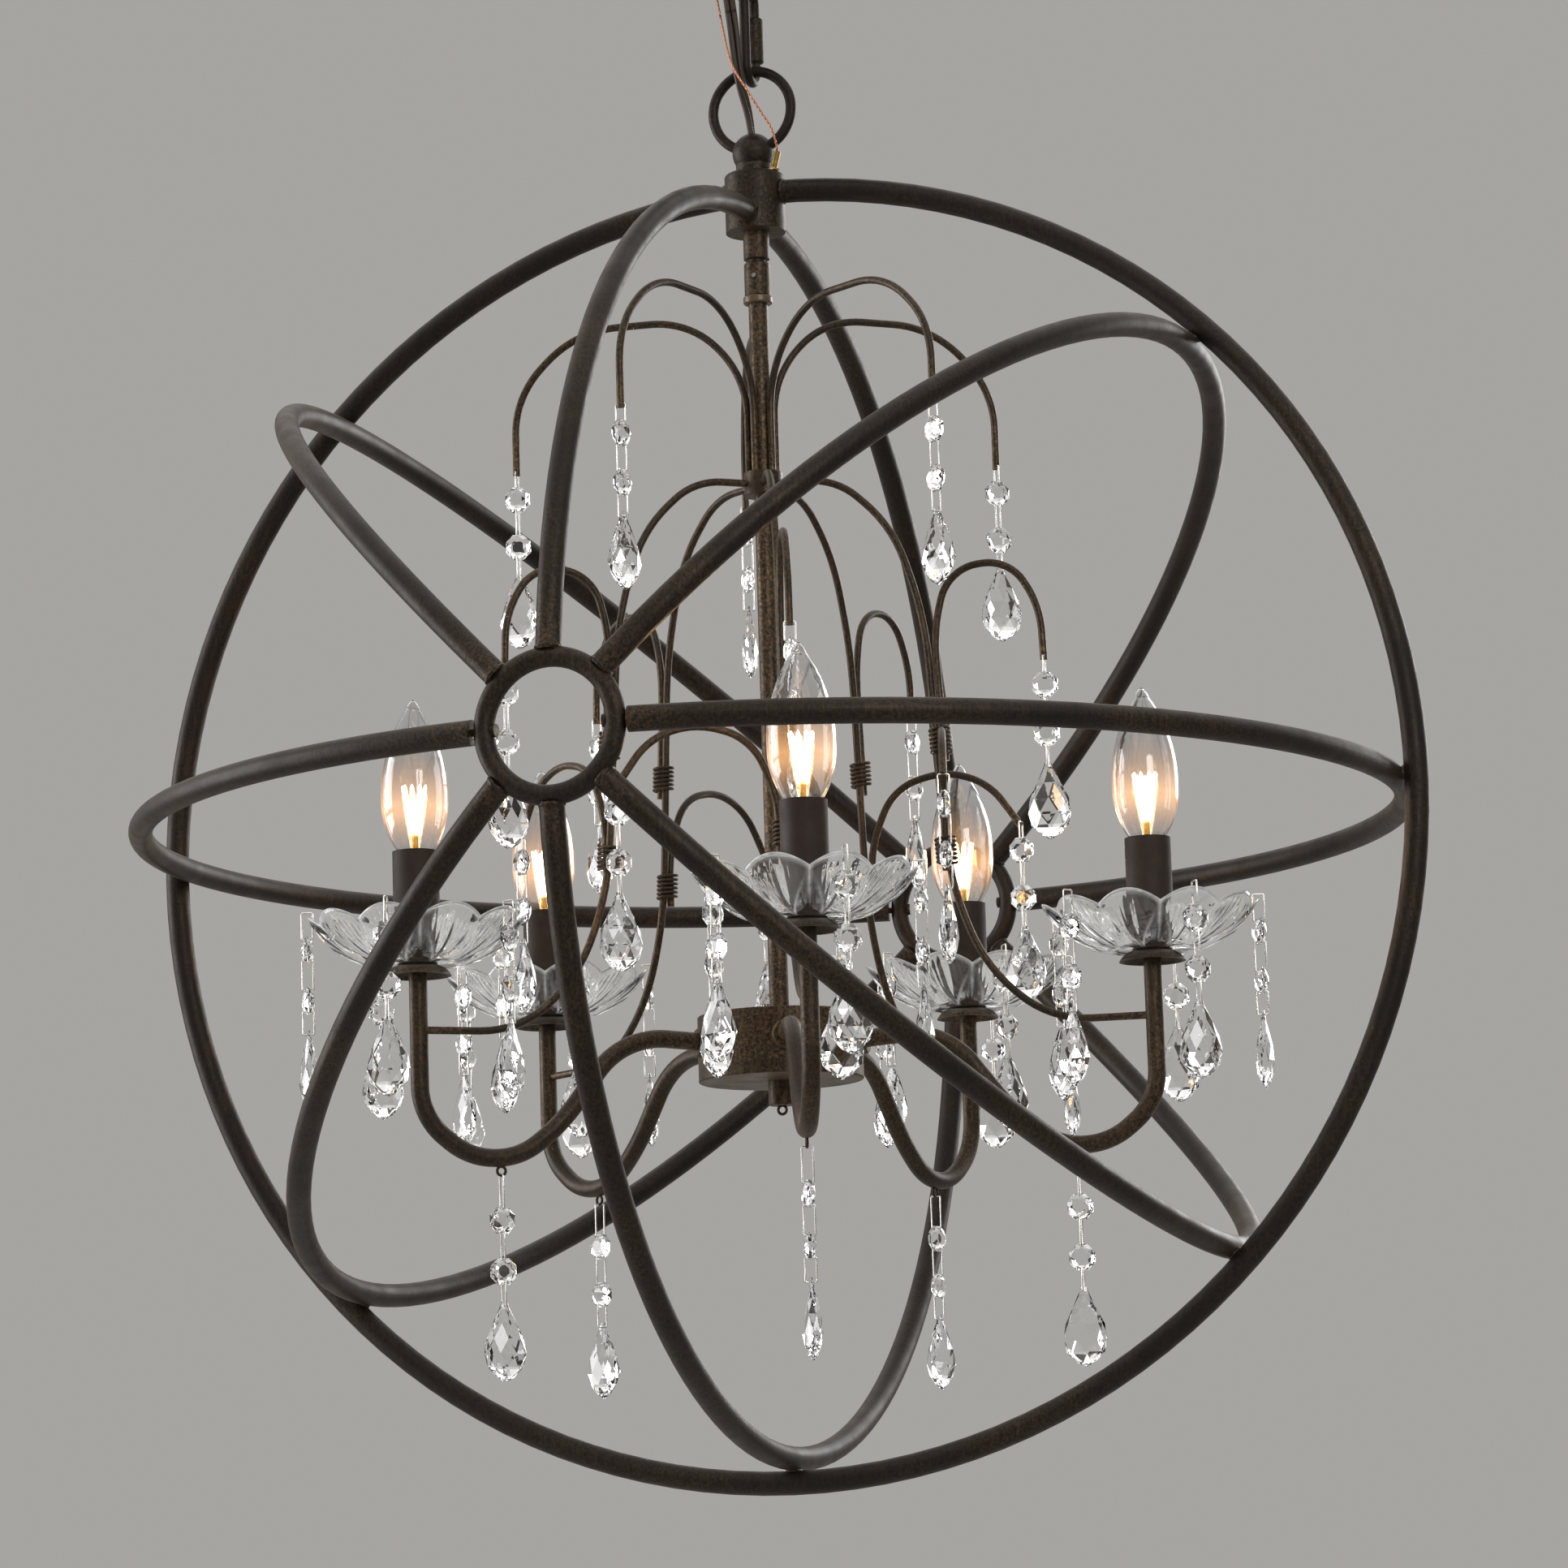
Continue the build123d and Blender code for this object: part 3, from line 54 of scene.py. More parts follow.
# ---- sizes shared with the part -----------------------------------------------------------
ORB_DROP = 517.45
TUBE_R = 6.35
RING_R = 348.65
HOOP_R = 335.9
POLE_R = 33.5
POLE_BAR_R = 5.1
HUB_R = 16.25
ARM_AZIMUTH = 292.6
ARM_R = 201.4
ARM_LOW_R = 158.0
EYELET_HANG = -188.1
SPRAY_END_R = 138.5
SPRAY_HANG = 205.2
UPPER_TWIG_END_R = 150.0
UPPER_TWIG_HANG = 81.2
LOWER_TWIG_TURN = -78.0
LOWER_TWIG_REACH = 86.0
LOWER_TWIG_HANG = 6.2
LOWER_TWIG_FOOT = (94.0, -4.2)
DISH_LOW = -80.2
DISH_H = 28.0
DISH_R = 57.0
DISH_FOOT_R = 24.0
PETALS = 10
PETAL_R = 24.0
RIM_HANG_R = 56.7
RIM_HANG = -51.35
DISH_TURNS = (15.6, 15.6, 15.6, 15.6, -16.4)
CANDLE_TOP = -20.4
FLOOR_Z = -2.4          # metres; the floor is far under the lamp
FLOOR_HALF = 9.0        # metres
arm_names = ["front", "right", "back_right", "back_left", "left"]
ARM_STEP = 360 // len(arm_names)
STRANDS_PER_DISH = 5
arm_angles = [ARM_AZIMUTH + ARM_STEP * i for i in range(len(arm_names))]


def in_frame(points):
    """Millimetres above the orb's middle to metres under the ceiling."""
    return (np.asarray(points, float) - (0, 0, ORB_DROP)) / 1000


# ---- camera --------------------------------------------------------------------------------
def place_camera():
    """Looks up at the orb from its front right, leaned a little, through a long lens."""
    yaw, pitch, roll = (math.radians(a) for a in (-18.2135, 9.6401, -1.7605))
    flat = math.cos(pitch)
    ahead = Vector((math.sin(yaw) * flat, math.cos(yaw) * flat, math.sin(pitch)))
    level = Vector((math.cos(yaw), -math.sin(yaw), 0))
    over = level.cross(ahead)
    right = math.cos(roll) * level + math.sin(roll) * over
    top = -math.sin(roll) * level + math.cos(roll) * over
    camera = bpy.data.objects.new("camera", bpy.data.cameras.new("camera"))
    camera.data.sensor_width = 36
    camera.data.lens = 123.52
    camera.data.clip_end = 40
    spot = Vector((0.89211, -2.69168, -0.97679))
    turned = Matrix((right, top, -ahead)).transposed().to_4x4()
    camera.matrix_world = Matrix.Translation(spot) @ turned
    scene.collection.objects.link(camera)
    scene.camera = camera


place_camera()


# ---- materials -----------------------------------------------------------------------------
WHITE = (1.0, 1.0, 1.0, 1)
CRYSTAL_BEND, PRESSED_BEND, LAMP_BEND = 1.56, 1.50, 1.45    # how strongly each glass bends light
PAINTED_GLOW_RISE = 22.0        # middle of the painted warm glow on the bulb glass, above the top of the candle


def start_finish(name):
    """A material with its node tree and shader."""
    material = bpy.data.materials.new(name)
    material.use_nodes = True
    tree = material.node_tree
    return material, tree, tree.nodes["Principled BSDF"]


def put(tree, kind, settings=None, **inputs):
    """Adds a node; an input is a number, a colour or another node's output.

    Inputs go by name, or by number as s0, s1 and so on.
    """
    node = tree.nodes.new(kind)
    for key, value in (settings or {}).items():
        setattr(node, key, value)
    for key, value in inputs.items():
        by_number = key[1:].isdigit()
        socket = node.inputs[int(key[1:]) if by_number else key.replace("_", " ")]
        if isinstance(value, bpy.types.NodeSocket):
            tree.links.new(value, socket)
        else:
            socket.default_value = value
    return node


def noise(tree, place, size, detail=3.0, rough=0.55):
    """Soft noise; size is how many waves go in a metre."""
    node = put(tree, "ShaderNodeTexNoise", None, Vector=place, Scale=size, Detail=detail,
               Roughness=rough)
    return node.outputs[0]


def ramp(tree, value, low, high, to_low=0.0, to_high=1.0):
    """Straight change from to_low at low to to_high at high, held level outside."""
    node = put(tree, "ShaderNodeMapRange", None, Value=value)
    for i, number in enumerate((low, high, to_low, to_high)):
        node.inputs[i + 1].default_value = number
    return node.outputs[0]


def times(tree, a, b, how="MULTIPLY"):
    """Two values multiplied, or brought together by another sum."""
    return put(tree, "ShaderNodeMath", {"operation": how}, s0=a, s1=b).outputs[0]


def blended(tree, share, one, other):
    """A colour that goes from one to the other as the share rises from 0 to 1."""
    node = put(tree, "ShaderNodeMix", {"data_type": "RGBA"}, s0=share, s6=one, s7=other)
    return node.outputs[2]


def relief(tree, shader, height, depth, strength):
    """Fine surface relief, its depth in metres."""
    bump = put(tree, "ShaderNodeBump", None, Height=height, Distance=depth, Strength=strength)
    tree.links.new(bump.outputs[0], shader.inputs["Normal"])


def object_place(tree):
    return put(tree, "ShaderNodeTexCoord").outputs["Object"]


def bronze(name, dark=(0.0115, 0.0090, 0.0072, 1), rubbed=(0.112, 0.070, 0.036, 1), amount=0.50,
           shine=0.43):
    """Near-black bronze paint dry-brushed with gold-brown: soft patches, streaks, worn edges."""
    material, tree, shader = start_finish(name)
    place = object_place(tree)
    broad = ramp(tree, noise(tree, place, 11.0, 2.0), 0.38, 0.72, 0.25, 1.0)
    fine = ramp(tree, noise(tree, place, 620.0, 3.0, 0.6), 0.42, 0.74)
    drawn = put(tree, "ShaderNodeMapping", None, Vector=place)
    drawn.inputs["Scale"].default_value = (1.0, 1.0, 0.10)
    streak = ramp(tree, noise(tree, drawn.outputs[0], 760.0, 2.0, 0.6), 0.46, 0.76)
    rub = times(tree, times(tree, fine, streak, "MAXIMUM"), broad)
    worn = put(tree, "ShaderNodeNewGeometry").outputs["Pointiness"]
    edge = ramp(tree, worn, 0.52, 0.60, 0.0, 0.6)
    share = times(tree, times(tree, rub, amount), times(tree, edge, fine), "ADD")
    tree.links.new(blended(tree, share, dark, rubbed), shader.inputs["Base Color"])
    shader.inputs["Metallic"].default_value = 0.45
    shader.inputs["Specular IOR Level"].default_value = 0.26
    shader.inputs["Sheen Weight"].default_value = 0.07
    shader.inputs["Sheen Roughness"].default_value = 0.35
    shader.inputs["Sheen Tint"].default_value = (0.78, 0.50, 0.27, 1)
    gloss = ramp(tree, noise(tree, place, 70.0, 4.0), 0.3, 0.7, shine, shine + 0.13)
    tree.links.new(gloss, shader.inputs["Roughness"])
    coarse = times(tree, noise(tree, place, 240.0, 2.0), 1.2)
    grain = times(tree, noise(tree, place, 1100.0, 3.0), coarse, "ADD")
    relief(tree, shader, grain, 0.00016, 0.45)
    return material


def crystal(name):
    """Clear cut crystal with a trace of polishing marks on its facets."""
    material, tree, shader = start_finish(name)
    place = object_place(tree)
    shader.inputs["Base Color"].default_value = WHITE
    shader.inputs["Transmission Weight"].default_value = 1.0
    shader.inputs["IOR"].default_value = CRYSTAL_BEND
    gloss = ramp(tree, noise(tree, place, 120.0, 2.0), 0.45, 0.75, 0.0, 0.035)
    tree.links.new(gloss, shader.inputs["Roughness"])
    relief(tree, shader, noise(tree, place, 260.0, 1.0), 0.00012, 0.25)
    return material


def pressed(name):
    """Clear pressed glass, fire-polished; the second UV number paints highlights on rims and petal
    edges.
    """
    material, tree, shader = start_finish(name)
    place = object_place(tree)
    around = put(tree, "ShaderNodeTexCoord").outputs["UV"]
    glint = put(tree, "ShaderNodeSeparateXYZ", None, Vector=around).outputs[1]
    uneven = ramp(tree, noise(tree, place, 210.0, 2.0), 0.3, 0.62, 0.55, 1.0)
    # painted highlight: the UV share, broken up by noise, makes the glass white, less clear and
    # rougher along rims and petal edges
    painted_highlight = times(tree, glint, uneven)
    clear = (0.985, 0.995, 0.992, 1)
    tree.links.new(blended(tree, painted_highlight, clear, WHITE), shader.inputs["Base Color"])
    tree.links.new(ramp(tree, painted_highlight, 0.0, 1.0, 1.0, 0.25), shader.inputs["Transmission Weight"])
    shader.inputs["IOR"].default_value = PRESSED_BEND
    tree.links.new(ramp(tree, painted_highlight, 0.0, 1.0, 0.01, 0.12), shader.inputs["Roughness"])
    relief(tree, shader, noise(tree, place, 260.0, 1.0), 0.00012, 0.25)
    return material


def bulb_finish(name):
    """Clear lamp glass with a painted warm glow: the glass gives off light itself round the height
    of the filament.
    """
    material, tree, shader = start_finish(name)
    place = object_place(tree)
    shader.inputs["Transmission Weight"].default_value = 1.0
    shader.inputs["IOR"].default_value = LAMP_BEND
    gloss = ramp(tree, noise(tree, place, 40.0, 2.0), 0.4, 0.8, 0.0, 0.03)
    tree.links.new(gloss, shader.inputs["Roughness"])
    # painted glow: warm emission on the glass itself, strongest at the filament's height
    height = put(tree, "ShaderNodeSeparateXYZ", None, Vector=place).outputs[2]
    middle = (CANDLE_TOP + PAINTED_GLOW_RISE - ORB_DROP) / 1000
    rise = ramp(tree, height, middle - 0.024, middle, 0.0, 1.0)
    fall = ramp(tree, height, middle, middle + 0.034, 1.0, 0.0)
    painted_glow = times(tree, times(tree, times(tree, rise, fall), times(tree, rise, fall)), 0.26)
    shader.inputs["Emission Color"].default_value = (1.0, 0.50, 0.20, 1)
    tree.links.new(painted_glow, shader.inputs["Emission Strength"])
    relief(tree, shader, noise(tree, place, 55.0, 1.0), 0.0006, 0.3)
    return material


def metal(name, colour, rough, speck):
    """Plain metal, a little darker in patches, with fine tool marks."""
    size = 420.0
    material, tree, shader = start_finish(name)
    place = object_place(tree)
    patches = ramp(tree, noise(tree, place, size, 4.0), 0.35, 0.7)
    dull = tuple(c * speck for c in colour[:3]) + (1,)
    tree.links.new(blended(tree, patches, colour, dull), shader.inputs["Base Color"])
    shader.inputs["Metallic"].default_value = 1.0
    gloss = ramp(tree, noise(tree, place, size / 3, 3.0), 0.3, 0.7, rough, rough + 0.15)
    tree.links.new(gloss, shader.inputs["Roughness"])
    relief(tree, shader, noise(tree, place, size * 2, 2.0), 0.00008, 0.4)
    return material


def moulded(name, colour, rough, mottle=0.75, size=150.0, level=0.5):
    """Plastic or painted card, evenly coloured with a faint mottle."""
    material, tree, shader = start_finish(name)
    place = object_place(tree)
    patches = ramp(tree, noise(tree, place, size, 5.0), 0.3, 0.7)
    darker = tuple(c * mottle for c in colour[:3]) + (1,)
    tree.links.new(blended(tree, patches, colour, darker), shader.inputs["Base Color"])
    gloss = ramp(tree, noise(tree, place, size / 2, 3.0), 0.3, 0.7, rough - 0.06, rough + 0.08)
    tree.links.new(gloss, shader.inputs["Roughness"])
    shader.inputs["Specular IOR Level"].default_value = level
    relief(tree, shader, noise(tree, place, size * 6, 2.0), 0.0001, 0.35)
    return material


def stranded(name, colour):
    """Bare stranded wire: bright and dark lines that wind round the tube on its own UV; the dark
    ones are painted shade in the grooves between strands.
    """
    strands, twist = 6, 2400.0      # half waves round the wire; radians of twist in a metre
    material, tree, shader = start_finish(name)
    around = put(tree, "ShaderNodeTexCoord").outputs["UV"]
    parts = put(tree, "ShaderNodeSeparateXYZ", None, Vector=around)
    around_wire = times(tree, parts.outputs[0], strands * math.pi)
    lay = times(tree, around_wire, times(tree, parts.outputs[1], twist), "ADD")
    wave = ramp(tree, times(tree, lay, 0.0, "SINE"), -1.0, 1.0)
    # dull is the painted shade colour for the grooves between strands
    dull = tuple(c * 0.45 for c in colour[:3]) + (1,)
    tree.links.new(blended(tree, wave, dull, colour), shader.inputs["Base Color"])
    shader.inputs["Metallic"].default_value = 1.0
    shader.inputs["Roughness"].default_value = 0.34
    relief(tree, shader, wave, 0.00015, 0.8)
    return material


def glowing(name, colour, strength):
    """The hot filament, a little brighter in places along its coil."""
    material, tree, shader = start_finish(name)
    place = object_place(tree)
    shader.inputs["Base Color"].default_value = (0.3, 0.2, 0.1, 1)
    shader.inputs["Emission Color"].default_value = colour
    power = ramp(tree, noise(tree, place, 700.0, 2.0), 0.3, 0.7, strength * 0.8, strength * 1.2)
    tree.links.new(power, shader.inputs["Emission Strength"])
    return material


aged_bronze = bronze("aged_bronze")
arm_bronze = bronze("arm_bronze", dark=(0.021, 0.0155, 0.0110, 1),
                    rubbed=(0.190, 0.118, 0.056, 1), amount=0.62, shine=0.38)
rod_bronze = bronze("rod_bronze", dark=(0.022, 0.0160, 0.0112, 1),
                    rubbed=(0.205, 0.128, 0.060, 1), amount=0.66, shine=0.37)
weld_bronze = bronze("weld_bronze", dark=(0.012, 0.0095, 0.0078, 1), amount=0.3, shine=0.33)
worn_flange = bronze("worn_flange", dark=(0.10, 0.074, 0.045, 1),
                     rubbed=(0.42, 0.31, 0.19, 1), amount=0.8, shine=0.26)
cut_crystal = crystal("cut_crystal")
pressed_glass = pressed("pressed_glass")
lamp_glass = bulb_finish("lamp_glass")
clip_metal = metal("clip_metal", (0.78, 0.76, 0.72, 1), 0.16, 0.8)
brass = metal("brass", (0.47, 0.32, 0.11, 1), 0.30, 0.5)
zinc = metal("zinc", (0.52, 0.52, 0.50, 1), 0.34, 0.75)
copper = stranded("copper", (0.58, 0.26, 0.15, 1))
candle_brown = moulded("candle_brown", (0.034, 0.0215, 0.0145, 1), 0.62, level=0.28)
cord_brown = moulded("cord_brown", (0.046, 0.030, 0.019, 1), 0.46, 0.8, size=90.0, level=0.35)
socket_plastic = moulded("socket_plastic", (0.030, 0.028, 0.026, 1), 0.45)
cap_plastic = moulded("cap_plastic", (0.56, 0.16, 0.045, 1), 0.42, 0.88)
hot_wire = glowing("hot_wire", (1.0, 0.64, 0.30, 1), 75.0)

node_finish = {
    "mounting_strap": zinc, "canopy_nut": zinc, "pole_screws": aged_bronze, "set_screw": zinc,
    "wire_caps": cap_plastic, "splice_caps": cap_plastic, "ground_lug": brass, "bulb_bases": brass,
    "lamp_sockets": socket_plastic, "candle_sleeves": candle_brown, "column_lead": cord_brown,
    "arm_wires": cord_brown, "stem_flange": worn_flange, "glass_dishes": cut_crystal,
    "bulb_glasses": lamp_glass, "spray_rods": rod_bronze, "brace_rods": rod_bronze,
    "twig_rods": rod_bronze, "twig_wraps": rod_bronze, "center_drum": arm_bronze,
    "drum_cover": arm_bronze, "drum_finial": arm_bronze, "stem_tube": arm_bronze,
    "arm_collars": arm_bronze, "drip_cups": arm_bronze, "spray_collar": arm_bronze,
    "fixed_coupling": arm_bronze, "swivel_coupling": arm_bronze,
}
for name in arm_names:
    node_finish[f"arm_{name}"] = arm_bronze

for name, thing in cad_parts.items():
    finish = node_finish.get(name, aged_bronze)
    if "strand" in name:
        finish = cut_crystal
    thing.data.materials.clear()
    thing.data.materials.append(finish)


# ---- mesh helpers --------------------------------------------------------------------------
def grid_faces(rows, cols, wrap_rows=False, wrap_cols=False):
    """Quads of a grid of points, row after row; either direction may close on itself."""
    down, along = np.arange(rows - (not wrap_rows)), np.arange(cols - (not wrap_cols))
    i, j = np.meshgrid(down, along, indexing="ij")
    near, far, beside = (i % rows) * cols, ((i + 1) % rows) * cols, (j + 1) % cols
    return np.stack([near + j, near + beside, far + beside, far + j], -1).reshape(-1, 4)


def repeated(points, faces, turns, spots):
    """Copies of one shape: each turned about the upright axis, then moved to its spot."""
    turns, spots = np.radians(np.asarray(turns, float)), np.asarray(spots, float)
    c, s = np.cos(turns)[:, None], np.sin(turns)[:, None]
    x, y, z = points.T
    spun = np.stack([c * x - s * y, s * x + c * y, np.broadcast_to(z, (len(turns), len(z)))], -1)
    whole = (spun + spots[:, None, :]).reshape(-1, 3)
    steps = (np.arange(len(turns)) * len(points))[:, None, None]
    return whole, [(f[None] + steps).reshape(-1, f.shape[1]) for f in faces]


def joined(*shapes):
    """Several shapes as one list of points and faces."""
    points, faces, count = [], [], 0
    for shape, rows in shapes:
        points.append(shape)
        faces += [f + count for f in rows]
        count += len(shape)
    return np.concatenate(points), faces


def make_piece(name, points, faces, material, body, smooth=True, uv=None, free=False):
    """Puts worked-out points (already metres in the frame) into a mesh, faces turned outward.

    A free piece rides no body.
    """
    mesh = bpy.data.meshes.new(name)
    mesh.from_pydata(points.tolist(), [], [row for f in faces for row in f.tolist()])
    if uv is not None:
        layer = mesh.uv_layers.new(name="UVMap")
        corners = np.empty(len(mesh.loops), int)
        mesh.loops.foreach_get("vertex_index", corners)
        layer.data.foreach_set("uv", uv[corners].ravel())
    made = bmesh.new()
    made.from_mesh(mesh)
    bmesh.ops.recalc_face_normals(made, faces=made.faces)
    made.to_mesh(mesh)
    made.free()
    mesh.polygons.foreach_set("use_smooth", [smooth] * len(mesh.polygons))
    mesh.materials.append(material)
    piece = bpy.data.objects.new(name, mesh)
    scene.collection.objects.link(piece)
    if not free:
        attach(piece, body)
    return piece


def tube(line, outline, side_hint, spin=None):
    """Carries a closed outline along a line; spin turns it about the line at each point.

    Each point is the line's point plus the outline's two numbers times two cross directions.
    """
    ahead = np.gradient(line, axis=0)
    ahead /= np.linalg.norm(ahead, axis=1)[:, None]
    side = np.cross(ahead, side_hint)
    side /= np.linalg.norm(side, axis=1)[:, None]
    lift = np.cross(side, ahead)
    spin = np.zeros(len(line)) if spin is None else spin
    c, s = np.cos(spin)[:, None], np.sin(spin)[:, None]
    across, over = c * side + s * lift, c * lift - s * side
    x, y = outline.T
    points = (line[:, None, :] + across[:, None, :] * x[None, :, None]
              + over[:, None, :] * y[None, :, None])
    rows, cols = len(line), len(outline)
    run = np.concatenate([[0], np.cumsum(np.linalg.norm(np.diff(line, axis=0), axis=1))])
    ring = np.arange(cols)[None, :]
    uv = np.stack(np.broadcast_arrays(ring / cols, run[:, None]), -1).reshape(-1, 2)
    first, last = ring, ring + (rows - 1) * cols
    return points.reshape(-1, 3), [grid_faces(rows, cols, wrap_cols=True), first, last], uv


def circle(radius, count):
    """A regular outline of that many corners."""
    angle = 2 * np.pi * np.arange(count) / count
    return radius * np.stack([np.cos(angle), np.sin(angle)], -1)


# ---- cords ---------------------------------------------------------------------------------
CORE_X, CORE_R = 1.55, 1.65     # each core of the supply cord: its middle, and its radius
CORD_WIDTH = 0.0064             # metres, over both cores
BARE_R = 0.0006                 # metres


def smooth_line(points):
    """Points read along a smooth spline that has the route's points as its control points."""
    curve = bpy.data.curves.new("route", "CURVE")
    curve.dimensions = "3D"
    curve.resolution_u = 10
    spline = curve.splines.new("NURBS")
    spline.points.add(len(points) - 1)
    flat = np.concatenate([in_frame(points), np.ones((len(points), 1))], 1)
    spline.points.foreach_set("co", flat.ravel())
    spline.order_u = 3
    spline.use_endpoint_u = True
    holder = bpy.data.objects.new("route", curve)
    scene.collection.objects.link(holder)
    bpy.context.view_layer.update()
    line = bpy.data.meshes.new_from_object(holder)
    found = np.empty(len(line.vertices) * 3)
    line.vertices.foreach_get("co", found)
    bpy.data.objects.remove(holder)
    bpy.data.curves.remove(curve)
    bpy.data.meshes.remove(line)
    return found.reshape(-1, 3)


def twin_outline():
    """A flat two-core cord: two circles side by side, joined where they meet."""
    angle = np.radians(np.linspace(-160, 160, 13))
    right = np.stack([CORE_X + CORE_R * np.cos(angle), CORE_R * np.sin(angle)], -1)
    return np.concatenate([right, -right]) / 1000


def cord_piece(name, route, outline, material, slot, bodies, ends, size, long, spin=(0, 0)):
    """One free length of cord: a tube along its spline.

    The ends are not used; spin is how far its outline
    is turned about it at its first and last point, in degrees.
    """
    line = smooth_line(route)
    turn = np.radians(np.linspace(spin[0], spin[1], len(line)))
    points, faces, uv = tube(line, outline, (1.0, 0.25, 0.0), turn)
    short_name = name.replace("supply_", "").replace("ground_", "bare_")
    piece = make_piece(short_name, points, faces, material, None, uv=uv, free=True)
    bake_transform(piece)
    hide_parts(name)
    return piece


# the two bodies at each part's ends, and two heights on it, in metres
cage_to_link = (("cage", "link"), (-0.150, -0.0715))
link_to_ceiling = (("link", "ceiling_mount"), (-0.0694, -0.0225))
cord_split, wire_split = (-5.3, -15.75, 448), (-11, -17.25, 446)
cord_piece("supply_cord_lower",
           [(0, 0, 364.7), (0, 0, 387), (-3, -14, 412), (-3.6, -16.5, 436), cord_split],
           twin_outline(), cord_brown, "cord_brown", *cage_to_link, CORD_WIDTH, 0.0866, (0, 90))
cord_piece("supply_cord_upper",
           [cord_split, (-7, -15, 460), (-9.5, -12, 482), (-9.5, -12.3, 497.45)],
           twin_outline(), cord_brown, "cord_brown", *link_to_ceiling, CORD_WIDTH, 0.0499,
           (90, 105))
cord_piece("ground_wire_lower",
           [(15.9, -6.4, 369.2), (15.4, -9.5, 380), (9, -14, 391), (3, -18.5, 403),
            (-4.5, -20.5, 416), (-8.5, -18.5, 433), wire_split],
           circle(BARE_R, 10), copper, "copper", *cage_to_link, 2 * BARE_R, 0.0845)
cord_piece("ground_wire_upper",
           [wire_split, (-13.5, -16, 459), (-18.5, -10, 480), (-19.8, -8.2, 497.45)],
           circle(BARE_R, 10), copper, "copper", *link_to_ceiling, 2 * BARE_R, 0.0532)


# ---- crystal strands -----------------------------------------------------------------------
BEAD_R, BEAD_HOLE, BEAD_DROP, BEAD_PITCH = 7.4, 5.0, 15.8, 26.3
BEAD_STEP_R, BEAD_TABLE_R = 5.5, 3.6
BEAD_GIRDLE, BEAD_STEP, BEAD_FACE = 0.8, 2.25, 3.1      # half thicknesses
DROP_TOP, DROP_H, DROP_R, DROP_FLAT, DROP_HOLE = 57.6, 41.0, 12.0, 0.42, 2.6
CLIP_R, CLIP_WIDTH, CLIP_CORNER, CLIP_SLACK = 0.45, 5.8, 0.8, 0.35
SWAY = 9.0              # degrees that a crystal may be turned in its clips
LONG_CLIP_EXTRA, RIM_CLIP_EXTRA = 8.0, 4.0


def ringed(rows, flat=1.0, upright=True):
    """Eight-sided rings in step along an axis, every other one turned half a side.

    Each row is place along the axis, size, and turn in half sides; neighbours that differ in
    turn are joined by triangles, so that facets are kites, and the rest by plain quads.
    """
    along, size, half = (np.array(v, float) for v in zip(*rows))
    angle = (np.arange(8)[None, :] + 0.5 + half[:, None] / 2) * np.pi / 4
    x, y = size[:, None] * np.cos(angle), size[:, None] * np.sin(angle) * flat
    z = np.broadcast_to(along[:, None], x.shape)
    points = np.stack([x, y, z] if upright else [x, z, y], -1).reshape(-1, 3)
    faces = [np.arange(8)[None, :], np.arange(8)[None, :] + 8 * (len(rows) - 1)]
    step = np.arange(8)
    for i in range(len(rows) - 1):
        a, b = 8 * i + step, 8 * i + (step + 1) % 8
        c, d = a + 8, b + 8
        if half[i] == half[i + 1]:
            faces.append(np.stack([a, b, d, c], -1))
        elif half[i + 1] > half[i]:
            faces += [np.stack([a, b, c], -1), np.stack([b, d, c], -1)]
        else:
            faces += [np.stack([a, d, c], -1), np.stack([a, b, d], -1)]
    return points, faces


def bead_shape():
    """A flat octagon bead: girdle, kite facets and an octagonal table on both faces."""
    front = [(BEAD_GIRDLE, BEAD_R, 0), (BEAD_STEP, BEAD_STEP_R, 1), (BEAD_FACE, BEAD_TABLE_R, 0)]
    back = [(-out, size, half) for out, size, half in front[::-1]]
    return ringed(back + front, upright=False)


def drop_shape():
    """A flattened pear of kite facets, widest two thirds down, coming to a blunt tip."""
    down = [(0.0, 0.15), (0.09, 0.25), (0.27, 0.56), (0.47, 0.87), (0.66, 1.0), (0.82, 0.83),
            (0.94, 0.45), (1.0, 0.07)]
    rows = [(-DROP_H * d, DROP_R * w, i % 2) for i, (d, w) in enumerate(down)]
    return ringed(rows, DROP_FLAT)


def clip_shape(high, low):
    """Fine wire bent to an upright rounded rectangle, a six-sided tube round its middle line."""
    corner = np.radians(np.arange(0, 91, 30))
    r = CLIP_CORNER
    w, top, bottom = CLIP_WIDTH / 2 - r, high - r, low + r
    centres = [(w, top, 0), (-w, top, 90), (-w, bottom, 180), (w, bottom, 270)]
    y = np.concatenate([cy + r * np.cos(corner + math.radians(t)) for cy, cz, t in centres])
    z = np.concatenate([cz + r * np.sin(corner + math.radians(t)) for cy, cz, t in centres])
    out = np.concatenate([np.radians(t) + corner for cy, cz, t in centres])
    ring = np.pi / 3 * np.arange(6)
    rows, sides = len(out), len(ring)
    reach = CLIP_R * np.cos(ring)[None, :]
    points = np.stack([np.broadcast_to(CLIP_R * np.sin(ring)[None, :], (rows, sides)),
                       y[:, None] + reach * np.cos(out)[:, None],
                       z[:, None] + reach * np.sin(out)[:, None]], -1)
    return points.reshape(-1, 3), [grid_faces(rows, sides, True, True)]


